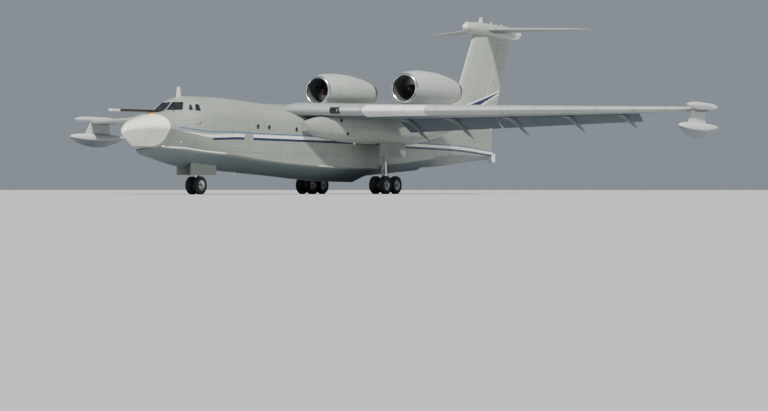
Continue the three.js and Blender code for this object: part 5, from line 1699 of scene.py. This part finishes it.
# %% Main landing gear
def link_plate(low, high, half_low, half_high, x):
    """One half of a scissor link, seen from the side: a tapering plate between two [y, z] pins."""
    low, high = np.asarray(low, float), np.asarray(high, float)
    along = (high - low) / np.linalg.norm(high - low)
    side = np.array([-along[1], along[0]])
    corners = [low - side * half_low, low + side * half_low, high + side * half_high, high - side * half_high]
    return plate(rounded(corners, 0.015), x - 0.05, x + 0.05, ALONG_X, 0.008)


def hose(points, radius=0.018):
    """A hose through a few points, eased into one smooth line."""
    share = np.linspace(0, 1, len(points))
    path = eased(np.column_stack([share, points]), np.linspace(0, 1, 24))
    return tube(path, radius, 8, (1, 0.2, 0.1))


BAY_ROOF, AXLE_HEIGHT = 3.249, GROUND + MAIN_TYRE_RADIUS
CYLINDER = [[0, 0.12], [0.01, 0.165], [0.06, 0.165], [0.07, 0.15], [0.62, 0.15], [0.64, 0.175], [0.72, 0.175],
            [0.74, 0.15], [1, 0.15]]
STAY = [[0, 0.075], [0.04, 0.085], [0.06, 0.055], [0.46, 0.055], [0.48, 0.075], [0.54, 0.075], [0.56, 0.06],
        [0.94, 0.06], [0.96, 0.085], [1, 0.075]]
PIN = [[0.04, -0.30], [0.11, -0.30], [0.11, 0.30], [0.04, 0.30]]
HOSE_LINE = [[0.16, 2.9], [0.18, 1.9], [0.20, 1.15], [0.24, 0.6], [0.13, 0.12]]
BEAM_SIDE = [[-0.72, -0.08], [0.72, -0.08], [0.72, 0.06], [0.2, 0.108], [-0.2, 0.108], [-0.72, 0.06]]
BEAM_HALF = 0.085

stay_foot = box_outline([LEG_X - 0.12, LEG_Y + 1.0], [LEG_X + 0.12, LEG_Y + 1.3])
main_leg = [
    rod([LEG_X, LEG_Y, 1.15], [LEG_X, LEG_Y, BAY_ROOF], CYLINDER),
    across(PIN, LEG_X, LEG_Y, 3.05, 28),
    rod([LEG_X, LEG_Y + 0.08, 1.35], [LEG_X, LEG_Y + 1.15, 3.12], STAY),
    plate(stay_foot, 3.05, BAY_ROOF, ALONG_Z, 0.01),
    link_plate([LEG_Y - 0.40, 0.62], [LEG_Y - 0.12, 1.22], 0.05, 0.09, LEG_X),
    link_plate([LEG_Y - 0.40, 0.62], [LEG_Y - 0.08, 0.14], 0.05, 0.08, LEG_X),
    rod([LEG_X, LEG_Y, -0.07], [LEG_X, LEG_Y, 0.26], [[0, 0.10], [0.06, 0.12], [0.85, 0.12], [1, 0.10]]),
]
pair("main_leg_body", main_leg, gear_enamel, ["main_leg"])
main_piston = rod([LEG_X, LEG_Y, 0.20], [LEG_X, LEG_Y, 1.20], [[0, 0.088], [1, 0.088]], 32)
pair("main_piston", main_piston, bright_steel)
hoses = [hose([[LEG_X + aside, LEG_Y + back, z] for back, z in HOSE_LINE]) for aside in (-0.05, 0.05)]
pair("main_hoses", hoses, hose_rubber)
beam_outline = rounded(np.array(BEAM_SIDE) + [LEG_Y, AXLE_HEIGHT], 0.05)
bogie_beam = plate(beam_outline, LEG_X - BEAM_HALF, LEG_X + BEAM_HALF, ALONG_X, 0.015)
pair("bogie_beam_body", bogie_beam, gear_enamel, ["bogie_beam"])
tell("main gear")

# %% [markdown]
# The nose leg is a smaller one of the same kind, but its piston ends in a fork that steers. The
# fork, the piston and the links could all be one piece with the leg if nothing turned. Here they
# ride on the steered body, while the cylinder and its brace don't move.

# %% Nose landing gear
NOSE_AXLE_HEIGHT = GROUND + NOSE_TYRE_RADIUS
NOSE_CYLINDER = [[0, 0.09], [0.03, 0.12], [0.20, 0.12], [0.22, 0.10], [1, 0.10]]
NOSE_STAY = [[0, 0.06], [0.06, 0.07], [0.09, 0.045], [0.5, 0.045], [0.53, 0.06], [0.9, 0.05], [1, 0.06]]
HUB_SIDE, HUB_HALF = ([-0.12, -0.10], [0.12, 0.12]), 0.085
TOW_SIDE, TOW_HALF = ([-0.24, -0.05], [-0.10, 0.05]), 0.04


def by_nose_axle(corners, radius):
    """A rounded rectangle of the side view, with corners counted from the nose wheels' axle."""
    low, high = np.array(corners) + [NOSE_LEG_Y, NOSE_AXLE_HEIGHT]
    return box_outline(low, high, radius)


nose_leg = [
    rod([0, NOSE_LEG_Y, 0.425], [0, NOSE_LEG_Y, 1.419], NOSE_CYLINDER),
    rod([0, NOSE_LEG_Y + 0.05, 0.68], [0, NOSE_LEG_Y + 0.95, 1.36], NOSE_STAY),
    plate(box_outline([-0.12, 6.895], [0.12, 7.135]), 1.28, 1.419, ALONG_Z, 0.01),
]
part("nose_leg_body", nose_leg, gear_enamel, stands_for=["nose_leg"])
nose_fork = [
    plate(by_nose_axle(HUB_SIDE, 0.05), -HUB_HALF, HUB_HALF, ALONG_X, 0.015),
    plate(by_nose_axle(TOW_SIDE, 0.02), -TOW_HALF, TOW_HALF, ALONG_X),
    link_plate([NOSE_LEG_Y + 0.30, 0.14], [NOSE_LEG_Y + 0.06, 0.36], 0.035, 0.05, 0),
    link_plate([NOSE_LEG_Y + 0.30, 0.14], [NOSE_LEG_Y + 0.06, -0.08], 0.035, 0.05, 0),
]
part("nose_fork_body", nose_fork, gear_enamel, "nose_fork", ["nose_fork"])
piston_foot, piston_top = [0, NOSE_LEG_Y, NOSE_AXLE_HEIGHT + 0.08], [0, NOSE_LEG_Y, 0.419]
nose_piston = rod(piston_foot, piston_top, [[0, 0.07], [1, 0.07]], 32)
part("nose_piston", nose_piston, bright_steel, "nose_fork")
taxi_lamps = [dome(aside, NOSE_LEG_Y - 0.15, 0.72, (0.075, 0.06, 0.075)) for aside in (-0.10, 0.10)]
part("taxi_lamps", taxi_lamps, clear_lens)
tell("nose gear")

# %% [markdown]
# The doors stand open beside the legs. A single thin plate would be right from outside, but an open
# door shows its inner face too. So each is a panel with eased edges and a raised field, stiffened
# by ribs on its inner face and carried on short arms. The flight deck's solid keeps its own shape
# and only gets its finish here.

# %% Gear doors and the flight deck
DOOR_DEPTH = 0.030


def door(low, high, x, thick, ribs):
    """A door panel between two opposite [y, z] corners, with ribs and arms on its inner face."""
    (front, bottom), (back, top) = low, high
    panel = plate(box_outline(low, high, 0.08), x, x + thick, ALONG_X)
    field_outline = box_outline([front + 0.1, bottom + 0.08], [back - 0.1, top - 0.1], 0.08)
    field = plate(field_outline, x + 0.5 * thick, x + thick + 0.008, ALONG_X)
    bar_outlines = [box_outline([y - 0.025, bottom + 0.06], [y + 0.025, top - 0.03], 0.01)
                    for y in np.linspace(front + 0.2, back - 0.2, ribs)]
    bars = [plate(outline, x - 0.035, x + 0.004, ALONG_X, 0.004) for outline in bar_outlines]
    arms = [rod([x - 0.02, y, top - 0.08], [x - 0.14, y, top + 0.28], [[0, 0.022], [1, 0.022]], 12)
            for y in (front + 0.35, back - 0.35)]
    return [panel, field, *bars, *arms]


main_door = door([19.45, 1.45], [22.35, 2.22], x=2.945, thick=DOOR_DEPTH, ribs=7)
nose_door = door([5.0, 0.30], [7.2, 0.94], x=0.425, thick=DOOR_DEPTH, ribs=6)
pair("main_door_panel", main_door, door_enamel, ["outer_gear_door"])
pair("nose_door_panel", nose_door, door_enamel, ["nose_door"])
deck_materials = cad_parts["flight_deck"].data.materials
deck_materials.clear()
deck_materials.append(cabin_cloth)
tell("doors")
